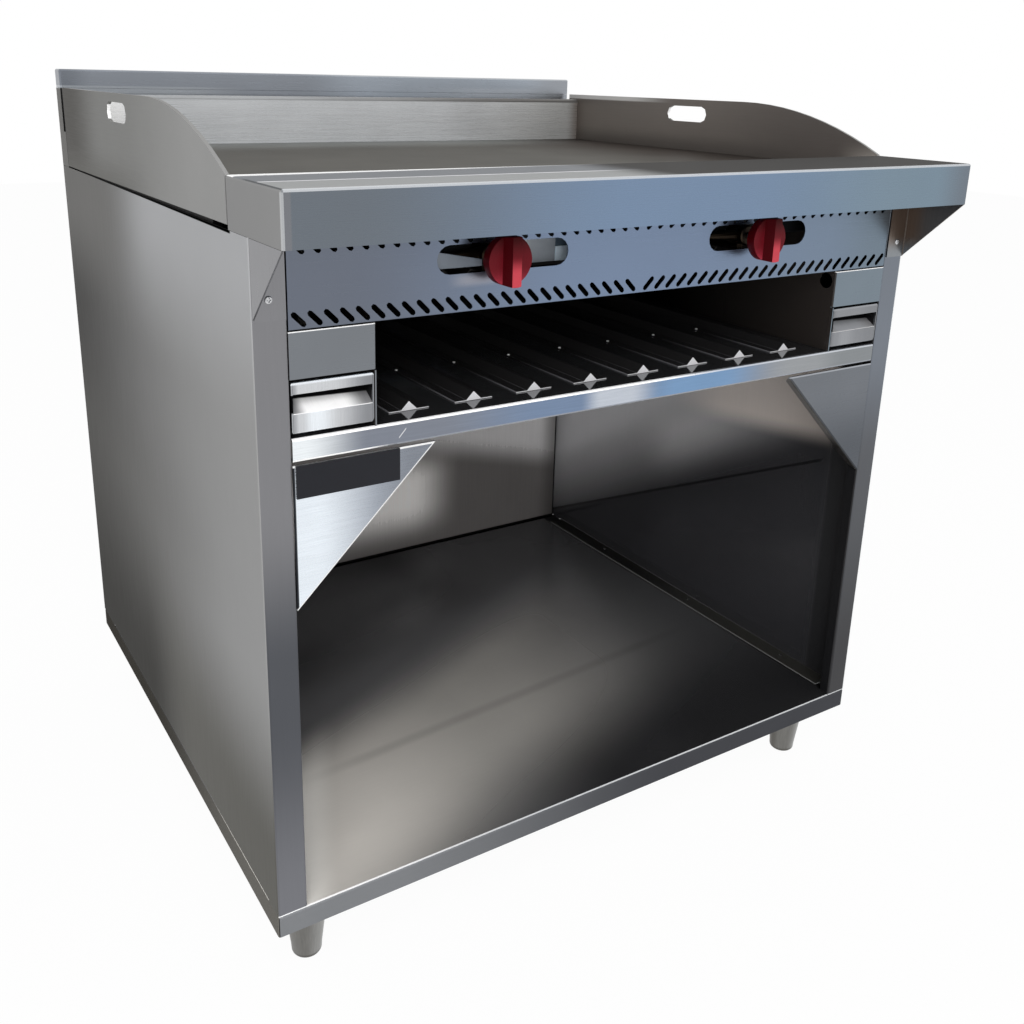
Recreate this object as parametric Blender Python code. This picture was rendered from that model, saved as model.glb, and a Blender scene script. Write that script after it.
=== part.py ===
"""Griddle range with a broiler shelf, on an open stainless base.

Lengths are in metres. While modelling, x runs across, y from the cabinet's front plane to the
back, and z up from the underside of the base pan. The cabinet empty carries that frame to the
part's own: its origin is the middle of the footprint, on the floor.
"""

import math

import bmesh
import bpy
from mathutils import Vector

# Cabinet
WIDTH = 0.900
DEPTH = 0.804
SHEET = 0.0015
BEND_INSIDE = 0.0010
BEND_STEPS = 2
GAP = 0.0003
SKIRT_HEIGHT = 0.0267
BAY_HEIGHT = 0.5422
STILE_WIDTH = 0.034
STILE_RETURN = 0.016
FLOOR_FLANGE = 0.028
FLOOR_FLANGE_INSET = 0.030
RELIEF_WIDTH = 0.0012
RELIEF_DEPTH = 0.0040
FLUE_DEPTH = 0.041
BACK_TOP_FLANGE = 0.010
COVER_FLANGE = 0.018

# Broiler shelf and its rest bars
RAIL_HEIGHT = 0.024
RAIL_RETURN = 0.010
SHELF_FLANGE = 0.020
BAR_COUNT = 8
BAR_WIDTH = 0.047
BAR_RIDGE_WIDTH = 0.0184
BAR_RIDGE_HEIGHT = 0.0098
BAR_SHEET = 0.0009
BAR_MARGIN = 0.0515
BAR_FRONT = 0.030
BAR_BACK_GAP = 0.025
VENT_COUNT = 14
VENT_WIDTH = 0.008
VENT_HEIGHT = 0.060
VENT_LIFT = 0.030
VENT_PITCH = 0.044

# Columns and grease drawers
COLUMN_WIDTH = 0.0898
COLUMN_PLATE_HEIGHT = 0.0460
COLUMN_HOLE = 0.0200
COLUMN_HOLE_Y = 0.0160
COLUMN_HOLE_DROP = 0.0137
DRAWER_HEIGHT = 0.0521
DRAWER_LIFT = 0.0038
DRAWER_TOP_GAP = 0.0027
DRAWER_SIDE_GAP = 0.0012
DRAWER_FRONT_DEPTH = 0.025
DRAWER_LENGTH = 0.280
DRAWER_SHEET = 0.0012
SCOOP_LOW = 0.0213
SCOOP_HIGH = 0.0398
SCOOP_RISE = 0.0120
SCOOP_DEPTH = 0.022
SCOOP_CHEEK = 0.0028
TRAY_SIDE_GAP = 0.0030
GUIDE_HEIGHT = 0.014
GUIDE_START = 0.030
RUNNING_GAP = 0.0005

# Gussets and the blank plate
GUSSET_WIDTH = 0.158
GUSSET_HEIGHT = 0.156
GUSSET_DROP = 0.0030
GUSSET_FLANGE = 0.012
NAMEPLATE_WIDTH = 0.1115
NAMEPLATE_HEIGHT = 0.034
NAMEPLATE_THICKNESS = 0.0012
NAMEPLATE_SIDE = 0.0030
NAMEPLATE_TOP = 0.0004

# Control panel
PANEL_GAP = 0.0008
PANEL_SHOWN = 0.0883
PANEL_SIDE_GAP = 0.0008
PANEL_RETURN = 0.012
KNOB_RISE = 0.0544
CUTOUT_SHARE = 0.39933
CUTOUT_LENGTH = 0.159
CUTOUT_HEIGHT = 0.0295
SLOT_LENGTH = 0.0197
SLOT_WIDTH = 0.0056
SLOT_PITCH = 0.01633
SLOT_FIRST = 0.0130
SLOT_SIDE = 0.0075
SLOT_LOW = 0.0102
SLOT_HIGH = 0.0780
SLOT_TILT = math.radians(45)

# Ledge and its brackets
LEDGE_REACH = 0.083
LEDGE_HEIGHT = 0.0498
LEDGE_BACK = 0.055
BRACKET_HEIGHT = 0.0764

# Griddle top
PLATE_DROP = 0.0172
PLATE_THICKNESS = 0.012
PLATE_OVERHANG = 0.0045
PLATE_EDGE = 0.0015
GUARD_THICKNESS = 0.004
GUARD_RISE = 0.0618
GUARD_FLAT_START = 0.315
GUARD_NOSE = 0.0010
GUARD_ARC_STEPS = 10
GUARD_SLIT_FRONT = 0.0048
GUARD_SLIT_BACK = 0.0020
GUARD_BACK_GAP = 0.0010
HAND_HOLE_LENGTH = 0.092
HAND_HOLE_HEIGHT = 0.024
HAND_HOLE_Y = 0.449
HAND_HOLE_DROP = 0.0225
RIGHT_HOLE_FORWARD = 0.011
SPLASH_SETBACK = 0.028
SPLASH_DROP = 0.0080
SPLASH_HEM = 0.010
SPLASH_THICKNESS = 0.003
REST_THICKNESS = 0.012
REST_HEAD = 0.0071
REST_LEG = 0.030
REST_TAPER = 0.020
REST_START = 0.006

# Grease trough
TROUGH_WIDTH = 0.049
TROUGH_CLEARANCE = 0.0045
TROUGH_PLATE_GAP = 0.0035
SPOUT_RADIUS = 0.0125
SPOUT_WALL = 0.0015
SPOUT_DRAWER_GAP = 0.007

# Gas train
KNOB_OFFSET = -0.012
KNOB_RADIUS = 0.0255
KNOB_SKIRT = 0.0125
KNOB_GRIP = 0.0137
KNOB_STANDOFF = 0.018
KNOB_GRIP_WIDTH = 0.0122
KNOB_GRIP_FOOT = 0.0180
STEM_RADIUS = 0.004
MANIFOLD_SIZE = 0.025
MANIFOLD_SETBACK = 0.0325
MANIFOLD_LIFT = 0.006
VALVE_RADIUS = 0.012
VALVE_START = 0.0045
VALVE_ARM_LENGTH = 0.056
VALVE_ARM_RADIUS = 0.0085
VALVE_ARM_TIP = 0.0035
SPUD_RADIUS = 0.005
SPUD_REACH = 0.070
SUPPLY_RADIUS = 0.01065
SUPPLY_INSET = 0.041
COUPLING_RADIUS = 0.0145
COUPLING_LENGTH = 0.034
COUPLING_BORE = 0.0090
COUPLING_BORE_DEPTH = 0.015
HOLE_CLEARANCE = 0.0005

# Burners
BURNER_DROP = 0.015
BURNER_RADIUS = 0.016
BURNER_SPREAD = 0.095
BURNER_HEADER_Y = 0.155
BURNER_BACK_GAP = 0.075
MIXER_START = 0.076
MIXER_MOUTH = 0.022
MIXER_THROAT = 0.012
MIXER_BELL = 0.018
MIXER_WALL = 0.002
SUPPORT_LEG = 0.020
SUPPORT_SHEET = 0.002
SUPPORT_FRONT_Y = 0.185
SUPPORT_BACK_GAP = 0.110

# Flue riser
DUCT_STEP = 0.012
DUCT_STEP_HEIGHT = 0.050
DUCT_SETBACK = 0.0005
CAP_HEIGHT = 0.0258
CAP_LIP = 0.0018
CAP_SLOT_COUNT = 9
CAP_SLOT_LENGTH = 0.070
CAP_SLOT_WIDTH = 0.010
CAP_SLOT_PITCH = 0.092

# Feet
FOOT_HEIGHT = 0.090
FOOT_SIDE_INSET = 0.054
FOOT_END_INSET = 0.0595
FOOT_TOP_RADIUS = 0.0275
FOOT_BASE_RADIUS = 0.0178
FOOT_EDGE = 0.0060
STUD_RADIUS = 0.0060
STUD_LENGTH = 0.0170
SOCKET_PLATE = 0.060
SOCKET_PLATE_THICKNESS = 0.003
SOCKET_RADIUS = 0.017
SOCKET_LIFT = 0.004

ROUND_STEPS = 24
FINE_STEPS = 32
ARC_STEPS = 4

# Heights worked out from the driving dimensions
SHELF_TOP = SKIRT_HEIGHT + BAY_HEIGHT
DRAWER_BASE = SHELF_TOP + DRAWER_LIFT
PLATE_FRONT_LOW = DRAWER_BASE + DRAWER_HEIGHT + DRAWER_TOP_GAP
PLATE_FRONT_HIGH = PLATE_FRONT_LOW + COLUMN_PLATE_HEIGHT
PANEL_LOW = PLATE_FRONT_HIGH + PANEL_GAP
KNOB_Z = PANEL_LOW + KNOB_RISE
SIDE_TOP = PANEL_LOW + PANEL_SHOWN
LEDGE_LOW = SIDE_TOP + GAP
LEDGE_TOP = LEDGE_LOW + LEDGE_HEIGHT
PLATE_TOP = LEDGE_TOP - PLATE_DROP
PLATE_LOW = PLATE_TOP - PLATE_THICKNESS
GUARD_TOP = LEDGE_TOP + GUARD_RISE
MANIFOLD_Z = KNOB_Z + MANIFOLD_LIFT
MANIFOLD_TOP = MANIFOLD_Z + MANIFOLD_SIZE / 2
TROUGH_FLOOR = MANIFOLD_TOP + TROUGH_CLEARANCE
TROUGH_TOP = PLATE_LOW - TROUGH_PLATE_GAP
COLUMN_TOP = TROUGH_FLOOR - TROUGH_CLEARANCE / 2
BURNER_Z = KNOB_Z - BURNER_DROP
DUCT_TOP = GUARD_TOP - GAP
CAP_LOW = DUCT_TOP + GAP

# Widths and depths worked out from the driving dimensions
HALF = WIDTH / 2
INNER_HALF = HALF - SHEET - GAP
BAY_HALF = HALF - STILE_WIDTH
CAVITY_HALF = BAY_HALF - COLUMN_WIDTH
PANEL_HALF = BAY_HALF - PANEL_SIDE_GAP
CUTOUT_SPACING = CUTOUT_SHARE * WIDTH
BACK_FACE = DEPTH - FLUE_DEPTH
SPLASH_FACE = BACK_FACE - SPLASH_SETBACK
GUARD_FRONT = LEDGE_BACK + GAP
GUARD_BACK = BACK_FACE - GUARD_BACK_GAP
TROUGH_FRONT = LEDGE_BACK + GAP
TROUGH_BACK = TROUGH_FRONT + TROUGH_WIDTH
PLATE_FRONT = TROUGH_BACK - PLATE_OVERHANG
MANIFOLD_BACK = MANIFOLD_SETBACK + MANIFOLD_SIZE
SUPPLY_X = CAVITY_HALF - SUPPLY_INSET
DRAWER_X = BAY_HALF - COLUMN_WIDTH / 2 + SHEET / 2
DRAWER_WIDTH = COLUMN_WIDTH - SHEET - 2 * DRAWER_SIDE_GAP
TRAY_WIDTH = DRAWER_WIDTH - 2 * TRAY_SIDE_GAP
KNOB_PLACES = {"left": -CUTOUT_SPACING / 2 + KNOB_OFFSET, "right": CUTOUT_SPACING / 2 + KNOB_OFFSET}
SIDES = {"left": -1, "right": 1}

# For each axis: the two directions of an outline drawn square to it, and the axis itself
FRAMES = {
    "x": (Vector((0, 1, 0)), Vector((0, 0, 1)), Vector((1, 0, 0))),
    "y": (Vector((1, 0, 0)), Vector((0, 0, 1)), Vector((0, 1, 0))),
    "z": (Vector((1, 0, 0)), Vector((0, 1, 0)), Vector((0, 0, 1))),
}

# Finish of each kind of sub-part: colour, roughness, metallic
FINISHES = {
    "brushed_stainless": ((0.56, 0.57, 0.58), 0.32, 1.0),
    "polished_stainless": ((0.66, 0.66, 0.65), 0.12, 1.0),
    "griddle_steel": ((0.36, 0.34, 0.32), 0.42, 1.0),
    "galvanised_steel": ((0.52, 0.54, 0.55), 0.45, 1.0),
    "cast_iron": ((0.045, 0.043, 0.042), 0.70, 0.6),
    "valve_brass": ((0.30, 0.24, 0.13), 0.45, 1.0),
    "red_plastic": ((0.42, 0.030, 0.045), 0.38, 0.0),
    "black_plate": ((0.012, 0.012, 0.014), 0.40, 0.0),
}


def clear_scene():
    """Remove every object of the scene."""
    for thing in list(bpy.data.objects):
        bpy.data.objects.remove(thing, do_unlink=True)


def material(finish):
    """Principled material of a finish, made once."""
    found = bpy.data.materials.get(finish)
    if found:
        return found
    colour, roughness, metallic = FINISHES[finish]
    made = bpy.data.materials.new(finish)
    made.use_nodes = True
    shader = made.node_tree.nodes["Principled BSDF"]
    shader.inputs["Base Color"].default_value = (*colour, 1.0)
    shader.inputs["Roughness"].default_value = roughness
    shader.inputs["Metallic"].default_value = metallic
    made.diffuse_color = (*colour, 1.0)
    return made


def empty(name, parent, location):
    """Empty that holds a group of pieces or marks a joint's axis."""
    holder = bpy.data.objects.new(name, None)
    bpy.context.collection.objects.link(holder)
    holder.parent = parent
    holder.location = location
    return holder


def add(name, shape, parent, finish=None, smooth=False):
    """Object made from a bmesh, under its parent."""
    data = bpy.data.meshes.new(name)
    shape.to_mesh(data)
    shape.free()
    if smooth:
        data.shade_smooth()
        data.set_sharp_from_angle(angle=math.radians(30))
    piece = bpy.data.objects.new(name, data)
    bpy.context.collection.objects.link(piece)
    piece.parent = parent
    if finish:
        data.materials.append(material(finish))
    return piece


def combine(piece, shape, operation):
    """Cut, join or cross a piece with a shape that stays hidden."""
    helper = add(f"{piece.name}_{operation.lower()}_{len(piece.modifiers)}", shape, piece.parent)
    helper.hide_render = True
    helper.display_type = "WIRE"
    modifier = piece.modifiers.new(operation.lower(), "BOOLEAN")
    modifier.operation = operation
    modifier.solver = "EXACT"
    modifier.object = helper


def fold(piece, thickness=SHEET):
    """Round the folds of a thin surface and give it its sheet thickness, inwards."""
    bend = piece.modifiers.new("bend", "BEVEL")
    bend.width = BEND_INSIDE + thickness
    bend.segments = BEND_STEPS
    bend.limit_method = "ANGLE"
    bend.angle_limit = math.radians(20)
    wall = piece.modifiers.new("sheet", "SOLIDIFY")
    wall.thickness = thickness
    wall.offset = -1
    wall.use_even_offset = True


def ease(piece, width):
    """Small chamfer on the sharp edges of a solid piece."""
    edge = piece.modifiers.new("edge", "BEVEL")
    edge.width = width
    edge.segments = 1
    edge.limit_method = "ANGLE"
    edge.angle_limit = math.radians(40)


def prism(outline, axis, low, high, shape=None):
    """Closed outline of 2-D points carried along an axis from low to high."""
    first, second, along = FRAMES[axis]
    shape = shape or bmesh.new()
    near = [shape.verts.new(first * u + second * v + along * low) for u, v in outline]
    far = [shape.verts.new(first * u + second * v + along * high) for u, v in outline]
    faces = [shape.faces.new(near), shape.faces.new(far)]
    for i in range(len(outline)):
        faces.append(shape.faces.new((near[i - 1], near[i], far[i], far[i - 1])))
    bmesh.ops.recalc_face_normals(shape, faces=faces)
    return shape


def box(low, high, shape=None):
    """Box between two corners."""
    outline = [(low[0], low[1]), (high[0], low[1]), (high[0], high[1]), (low[0], high[1])]
    return prism(outline, "z", low[2], high[2], shape)


def turned(profile, axis, centre=(0, 0, 0), steps=ROUND_STEPS, shape=None):
    """Profile of (radius, distance along the axis) points turned about the axis."""
    first, second, along = FRAMES[axis]
    shape = shape or bmesh.new()
    rings = []
    for radius, distance in profile:
        middle = Vector(centre) + along * distance
        if radius == 0:
            rings.append([shape.verts.new(middle)])
            continue
        angles = [2 * math.pi * i / steps for i in range(steps)]
        rings.append([shape.verts.new(middle + radius * (math.cos(a) * first + math.sin(a) * second))
                      for a in angles])
    faces = []
    for ring, following in zip(rings, rings[1:]):
        for i in range(steps):
            corners = [ring[i % len(ring)], ring[(i + 1) % len(ring)],
                       following[(i + 1) % len(following)], following[i % len(following)]]
            faces.append(shape.faces.new(list(dict.fromkeys(corners))))
    bmesh.ops.recalc_face_normals(shape, faces=faces)
    return shape


def rod(radius, low, high, axis, centre=(0, 0, 0), steps=ROUND_STEPS, shape=None):
    """Plain round rod along an axis."""
    return turned([(0, low), (radius, low), (radius, high), (0, high)], axis, centre, steps, shape)


def obround(length, height, tilt=0.0, centre=(0, 0), steps=ARC_STEPS):
    """Outline of a slot with round ends, its long axis tilted anticlockwise."""
    radius = height / 2
    reach = length / 2 - radius
    points = []
    for end in (0, 1):
        for i in range(steps + 1):
            angle = -math.pi / 2 + math.pi * (end + i / steps)
            u = reach * (1 - 2 * end) + radius * math.cos(angle)
            v = radius * math.sin(angle)
            points.append((centre[0] + u * math.cos(tilt) - v * math.sin(tilt),
                           centre[1] + u * math.sin(tilt) + v * math.cos(tilt)))
    return points


def sheet_section(path, side, thickness=SHEET):
    """Outline of a sheet folded along a path of 2-D points, with round folds.

    The sheet lies to the left of the path where side is 1 and to the right where it is -1.
    """
    points = [Vector(p) for p in path]
    face, back = [], []

    def left(direction):
        return Vector((-direction.y, direction.x))

    def keep(point, direction):
        face.append(point)
        back.append(point + left(direction) * side * thickness)

    keep(points[0], (points[1] - points[0]).normalized())
    for before, point, after in zip(points, points[1:], points[2:]):
        arriving = (point - before).normalized()
        leaving = (after - point).normalized()
        turn = math.atan2(arriving.cross(leaving), arriving.dot(leaving))
        radius = BEND_INSIDE + (thickness if turn * side > 0 else 0)
        start = point - arriving * radius * math.tan(abs(turn) / 2)
        centre = start + left(arriving) * math.copysign(radius, turn)
        for i in range(BEND_STEPS + 1):
            angle = turn * i / BEND_STEPS
            spun = Vector((math.cos(angle), math.sin(angle)))
            spoke = start - centre
            around = Vector((spoke.x * spun.x - spoke.y * spun.y, spoke.x * spun.y + spoke.y * spun.x))
            heading = Vector((arriving.x * spun.x - arriving.y * spun.y,
                              arriving.x * spun.y + arriving.y * spun.x))
            keep(centre + around, heading)
    keep(points[-1], (points[-1] - points[-2]).normalized())
    return [tuple(p) for p in face + back[::-1]]


def pan(low, high, opening):
    """Surface of a box with one open face: 1 for an open top, -1 for an open underside."""
    shape = box(low, high)
    shape.faces.ensure_lookup_table()
    shape.normal_update()
    lid = [f for f in shape.faces if f.normal.z * opening > 0.5]
    bmesh.ops.delete(shape, geom=lid, context="FACES_ONLY")
    return shape


def flat_panels(panels, outside):
    """Surface of flat panels that share their fold lines; the first panel faces outside."""
    shape = bmesh.new()
    for panel in panels:
        shape.faces.new([shape.verts.new(point) for point in panel])
    bmesh.ops.remove_doubles(shape, verts=shape.verts, dist=0.00001)
    bmesh.ops.recalc_face_normals(shape, faces=shape.faces)
    shape.faces.ensure_lookup_table()
    shape.normal_update()
    if shape.faces[0].normal.dot(Vector(outside)) < 0:
        bmesh.ops.reverse_faces(shape, faces=shape.faces)
    return shape


def base_pan(cabinet):
    """Storage floor with a skirt on four sides, open below."""
    fold(add("base_pan", pan((-HALF, 0, 0), (HALF, DEPTH, SKIRT_HEIGHT), -1), cabinet,
             "polished_stainless"))


def side_panel(cabinet, name, sign):
    """Outer side with its folded front stile and a flange that lies on the floor."""
    low = SKIRT_HEIGHT + GAP
    outer = sign * HALF
    inner = sign * BAY_HALF
    start = FLOOR_FLANGE_INSET
    end = BACK_FACE - FLOOR_FLANGE_INSET
    cut = low + RELIEF_DEPTH
    web = [(0, low), (start - RELIEF_WIDTH, low), (start - RELIEF_WIDTH, cut), (start, cut),
           (start, low), (end, low), (end, cut), (end + RELIEF_WIDTH, cut),
           (end + RELIEF_WIDTH, low), (DEPTH, low), (DEPTH, SIDE_TOP), (0, SIDE_TOP)]
    lip = sign * (HALF - FLOOR_FLANGE)
    panels = [
        [(outer, y, z) for y, z in web],
        [(outer, 0, low), (outer, 0, SIDE_TOP), (inner, 0, SIDE_TOP), (inner, 0, low)],
        [(inner, 0, low), (inner, 0, SIDE_TOP), (inner, STILE_RETURN, SIDE_TOP),
         (inner, STILE_RETURN, low)],
        [(outer, start, low), (outer, end, low), (lip, end, low), (lip, start, low)],
    ]
    fold(add(f"{name}_side_panel", flat_panels(panels, (sign, 0, 0)), cabinet, "brushed_stainless"))


def back_panel(cabinet):
    """Back of the storage bay and broiler cavity, with vents into the flue behind it."""
    low = SKIRT_HEIGHT + GAP
    top = SIDE_TOP - 2 * SHEET
    path = [(BACK_FACE, low), (BACK_FACE, top), (BACK_FACE + BACK_TOP_FLANGE, top)]
    piece = add("back_panel", prism(sheet_section(path, -1), "x", -INNER_HALF, INNER_HALF), cabinet,
                "brushed_stainless")
    vents = bmesh.new()
    middle = SHELF_TOP + VENT_LIFT + VENT_HEIGHT / 2
    for i in range(VENT_COUNT):
        x = (i - (VENT_COUNT - 1) / 2) * VENT_PITCH
        slot = obround(VENT_HEIGHT, VENT_WIDTH, math.pi / 2, (x, middle), 2)
        prism(slot, "y", BACK_FACE - SHEET, BACK_FACE + 2 * SHEET, vents)
    rod(SUPPLY_RADIUS + HOLE_CLEARANCE, BACK_FACE - SHEET, BACK_FACE + 2 * SHEET, "y",
        (SUPPLY_X, 0, MANIFOLD_Z), shape=vents)
    combine(piece, vents, "DIFFERENCE")


def rear_cover(cabinet):
    """Sheet that closes the flue at the back, flanged between the side panels."""
    path = [(-INNER_HALF, DEPTH - COVER_FLANGE), (-INNER_HALF, DEPTH), (INNER_HALF, DEPTH),
            (INNER_HALF, DEPTH - COVER_FLANGE)]
    piece = add("rear_cover", prism(sheet_section(path, -1), "z", SKIRT_HEIGHT + GAP, SIDE_TOP),
                cabinet, "brushed_stainless")
    hole = rod(COUPLING_RADIUS + HOLE_CLEARANCE, DEPTH - 2 * SHEET, DEPTH + SHEET, "y",
               (SUPPLY_X, 0, MANIFOLD_Z))
    combine(piece, hole, "DIFFERENCE")


def broiler_shelf(cabinet):
    """Floor of the broiler cavity, folded down into the front rail and side flanges."""
    notch = STILE_RETURN + RELIEF_DEPTH
    back = BACK_FACE - GAP
    rail_low = SHELF_TOP - RAIL_HEIGHT
    flange_low = SHELF_TOP - SHELF_FLANGE
    web = [(-PANEL_HALF, 0), (PANEL_HALF, 0), (PANEL_HALF, notch), (INNER_HALF, notch),
           (INNER_HALF, back), (-INNER_HALF, back), (-INNER_HALF, notch), (-PANEL_HALF, notch)]
    panels = [
        [(x, y, SHELF_TOP) for x, y in web],
        [(-PANEL_HALF, 0, SHELF_TOP), (-PANEL_HALF, 0, rail_low), (PANEL_HALF, 0, rail_low),
         (PANEL_HALF, 0, SHELF_TOP)],
        [(-PANEL_HALF, 0, rail_low), (-PANEL_HALF, RAIL_RETURN, rail_low),
         (PANEL_HALF, RAIL_RETURN, rail_low), (PANEL_HALF, 0, rail_low)],
    ]
    for sign in SIDES.values():
        x = sign * INNER_HALF
        panels.append([(x, notch, SHELF_TOP), (x, back, SHELF_TOP), (x, back, flange_low),
                       (x, notch, flange_low)])
    fold(add("broiler_shelf", flat_panels(panels, (0, 0, 1)), cabinet, "polished_stainless"))


def rest_bars(cabinet):
    """Folded bars on the shelf: a ridge with a flat wing on each side and closed ends."""
    low = SHELF_TOP + GAP
    wing = low + BAR_SHEET
    pitch = 2 * (CAVITY_HALF - BAR_MARGIN) / (BAR_COUNT - 1)
    for i in range(BAR_COUNT):
        x = (i - (BAR_COUNT - 1) / 2) * pitch
        edge = BAR_WIDTH / 2
        foot = BAR_RIDGE_WIDTH / 2
        outline = [(x - edge, low), (x + edge, low), (x + edge, wing), (x + foot, wing),
                   (x, low + BAR_RIDGE_HEIGHT), (x - foot, wing), (x - edge, wing)]
        add(f"rest_bar_{i + 1}", prism(outline, "y", BAR_FRONT, BACK_FACE - BAR_BACK_GAP), cabinet,
            "polished_stainless")


def column(cabinet, name, sign):
    """Wall beside the broiler cavity, folded into the front plate over the drawer."""
    wall = sign * CAVITY_HALF
    plate_edge = sign * (BAY_HALF - GAP)
    low = SHELF_TOP + GAP
    behind = PANEL_RETURN + BEND_INSIDE
    back = BACK_FACE - GAP
    web = [(0, low), (0, PLATE_FRONT_LOW - RELIEF_WIDTH),
           (RELIEF_DEPTH, PLATE_FRONT_LOW - RELIEF_WIDTH), (RELIEF_DEPTH, PLATE_FRONT_LOW),
           (0, PLATE_FRONT_LOW), (0, PLATE_FRONT_HIGH), (behind, PLATE_FRONT_HIGH),
           (behind, COLUMN_TOP), (back, COLUMN_TOP), (back, low)]
    panels = [
        [(wall, y, z) for y, z in web],
        [(wall, 0, PLATE_FRONT_LOW), (wall, 0, PLATE_FRONT_HIGH),
         (plate_edge, 0, PLATE_FRONT_HIGH), (plate_edge, 0, PLATE_FRONT_LOW)],
    ]
    piece = add(f"{name}_column", flat_panels(panels, (-sign, 0, 0)), cabinet, "brushed_stainless")
    fold(piece)
    hole = rod(COLUMN_HOLE / 2, wall - 2 * SHEET, wall + 2 * SHEET, "x",
               (0, COLUMN_HOLE_Y, PLATE_FRONT_HIGH - COLUMN_HOLE_DROP))
    combine(piece, hole, "DIFFERENCE")


def drawer_guide(cabinet, name, sign):
    """Channel on the shelf that the grease drawer slides in."""
    reach = TRAY_WIDTH / 2 + RUNNING_GAP + DRAWER_SHEET
    middle = sign * DRAWER_X
    low = SHELF_TOP + GAP
    path = [(middle - reach, low + GUIDE_HEIGHT), (middle - reach, low), (middle + reach, low),
            (middle + reach, low + GUIDE_HEIGHT)]
    end = DRAWER_FRONT_DEPTH + DRAWER_LENGTH
    add(f"{name}_drawer_guide", prism(sheet_section(path, 1, DRAWER_SHEET), "y", GUIDE_START, end),
        cabinet, "galvanised_steel")


def drawer(cabinet, name, sign):
    """Grease drawer: a front with a finger scoop, and the tray behind it."""
    holder = empty(f"{name}_drawer", cabinet, (sign * DRAWER_X, 0, DRAWER_BASE))
    half = DRAWER_WIDTH / 2
    front = add(f"{name}_drawer_front", box((-half, 0, 0), (half, DRAWER_FRONT_DEPTH, DRAWER_HEIGHT)),
                holder, "polished_stainless")
    scoop = [(-DRAWER_FRONT_DEPTH, SCOOP_LOW), (0, SCOOP_LOW), (SCOOP_DEPTH, SCOOP_LOW + SCOOP_RISE),
             (SCOOP_DEPTH, DRAWER_HEIGHT - 2 * DRAWER_SHEET),
             (2 * DRAWER_SHEET, DRAWER_HEIGHT - 2 * DRAWER_SHEET), (2 * DRAWER_SHEET, SCOOP_HIGH),
             (-DRAWER_FRONT_DEPTH, SCOOP_HIGH)]
    cheek = half - SCOOP_CHEEK
    combine(front, prism(scoop, "x", -cheek, cheek), "DIFFERENCE")
    ease(front, DRAWER_SHEET / 2)
    floor = SHELF_TOP + GAP + DRAWER_SHEET + GAP - DRAWER_BASE
    start = DRAWER_FRONT_DEPTH + GAP
    low = (-TRAY_WIDTH / 2, start, floor)
    high = (TRAY_WIDTH / 2, start + DRAWER_LENGTH, DRAWER_HEIGHT - DRAWER_SHEET)
    fold(add(f"{name}_drawer_tray", pan(low, high, 1), holder, "polished_stainless"), DRAWER_SHEET)


def gusset(cabinet, name, sign):
    """Corner plate under the rail, with a flange along its slanted edge."""
    outer = BAY_HALF - GAP
    top = SHELF_TOP - RAIL_HEIGHT - GUSSET_DROP
    slant = math.hypot(GUSSET_WIDTH, GUSSET_HEIGHT)
    along_x = GUSSET_FLANGE * GUSSET_WIDTH / slant
    along_z = GUSSET_FLANGE * GUSSET_HEIGHT / slant
    tip = (sign * (outer - GUSSET_WIDTH), top)
    toe = (sign * outer, top - GUSSET_HEIGHT)
    panels = [
        [(sign * outer, 0, top), (tip[0], 0, tip[1]), (toe[0], 0, toe[1])],
        [(tip[0], 0, tip[1]), (toe[0], 0, toe[1]),
         (toe[0] - sign * along_x, GUSSET_FLANGE, toe[1] + along_z),
         (tip[0] + sign * along_x, GUSSET_FLANGE, tip[1] - along_z)],
    ]
    fold(add(f"{name}_gusset", flat_panels(panels, (0, -1, 0)), cabinet, "brushed_stainless"))


def nameplate(cabinet):
    """Blank black plate in the upper corner of the left gusset."""
    left = -(BAY_HALF - GAP) + NAMEPLATE_SIDE
    top = SHELF_TOP - RAIL_HEIGHT - GUSSET_DROP - NAMEPLATE_TOP
    low = (left, -GAP - NAMEPLATE_THICKNESS, top - NAMEPLATE_HEIGHT)
    high = (left + NAMEPLATE_WIDTH, -GAP, top)
    add("nameplate", box(low, high), cabinet, "black_plate")


def control_panel(cabinet):
    """Front panel with two knob cut-outs and rows of air slots that lean outwards at the top."""
    top = LEDGE_TOP - SHEET - GAP
    path = [(PANEL_RETURN, PANEL_LOW), (0, PANEL_LOW), (0, top), (PANEL_RETURN, top)]
    piece = add("control_panel", prism(sheet_section(path, -1), "x", -PANEL_HALF, PANEL_HALF), cabinet,
                "brushed_stainless")
    holes = bmesh.new()
    for sign in SIDES.values():
        cutout = obround(CUTOUT_LENGTH, CUTOUT_HEIGHT, 0, (sign * CUTOUT_SPACING / 2, KNOB_Z), 2 * ARC_STEPS)
        prism(cutout, "y", -SHEET, 2 * SHEET, holes)
        count = int((PANEL_HALF - SLOT_FIRST - SLOT_SIDE) / SLOT_PITCH) + 1
        for i in range(count):
            x = sign * (SLOT_FIRST + i * SLOT_PITCH)
            for rise in (SLOT_LOW, SLOT_HIGH):
                slot = obround(SLOT_LENGTH, SLOT_WIDTH, sign * SLOT_TILT, (x, PANEL_LOW + rise), 3)
                prism(slot, "y", -SHEET, 2 * SHEET, holes)
    combine(piece, holes, "DIFFERENCE")


def ledge(cabinet):
    """Front landing: a closed-ended channel with welded corners, open below."""
    low = (-HALF, -LEDGE_REACH, LEDGE_LOW)
    fold(add("ledge", pan(low, (HALF, LEDGE_BACK, LEDGE_TOP), -1), cabinet, "brushed_stainless"))


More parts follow.
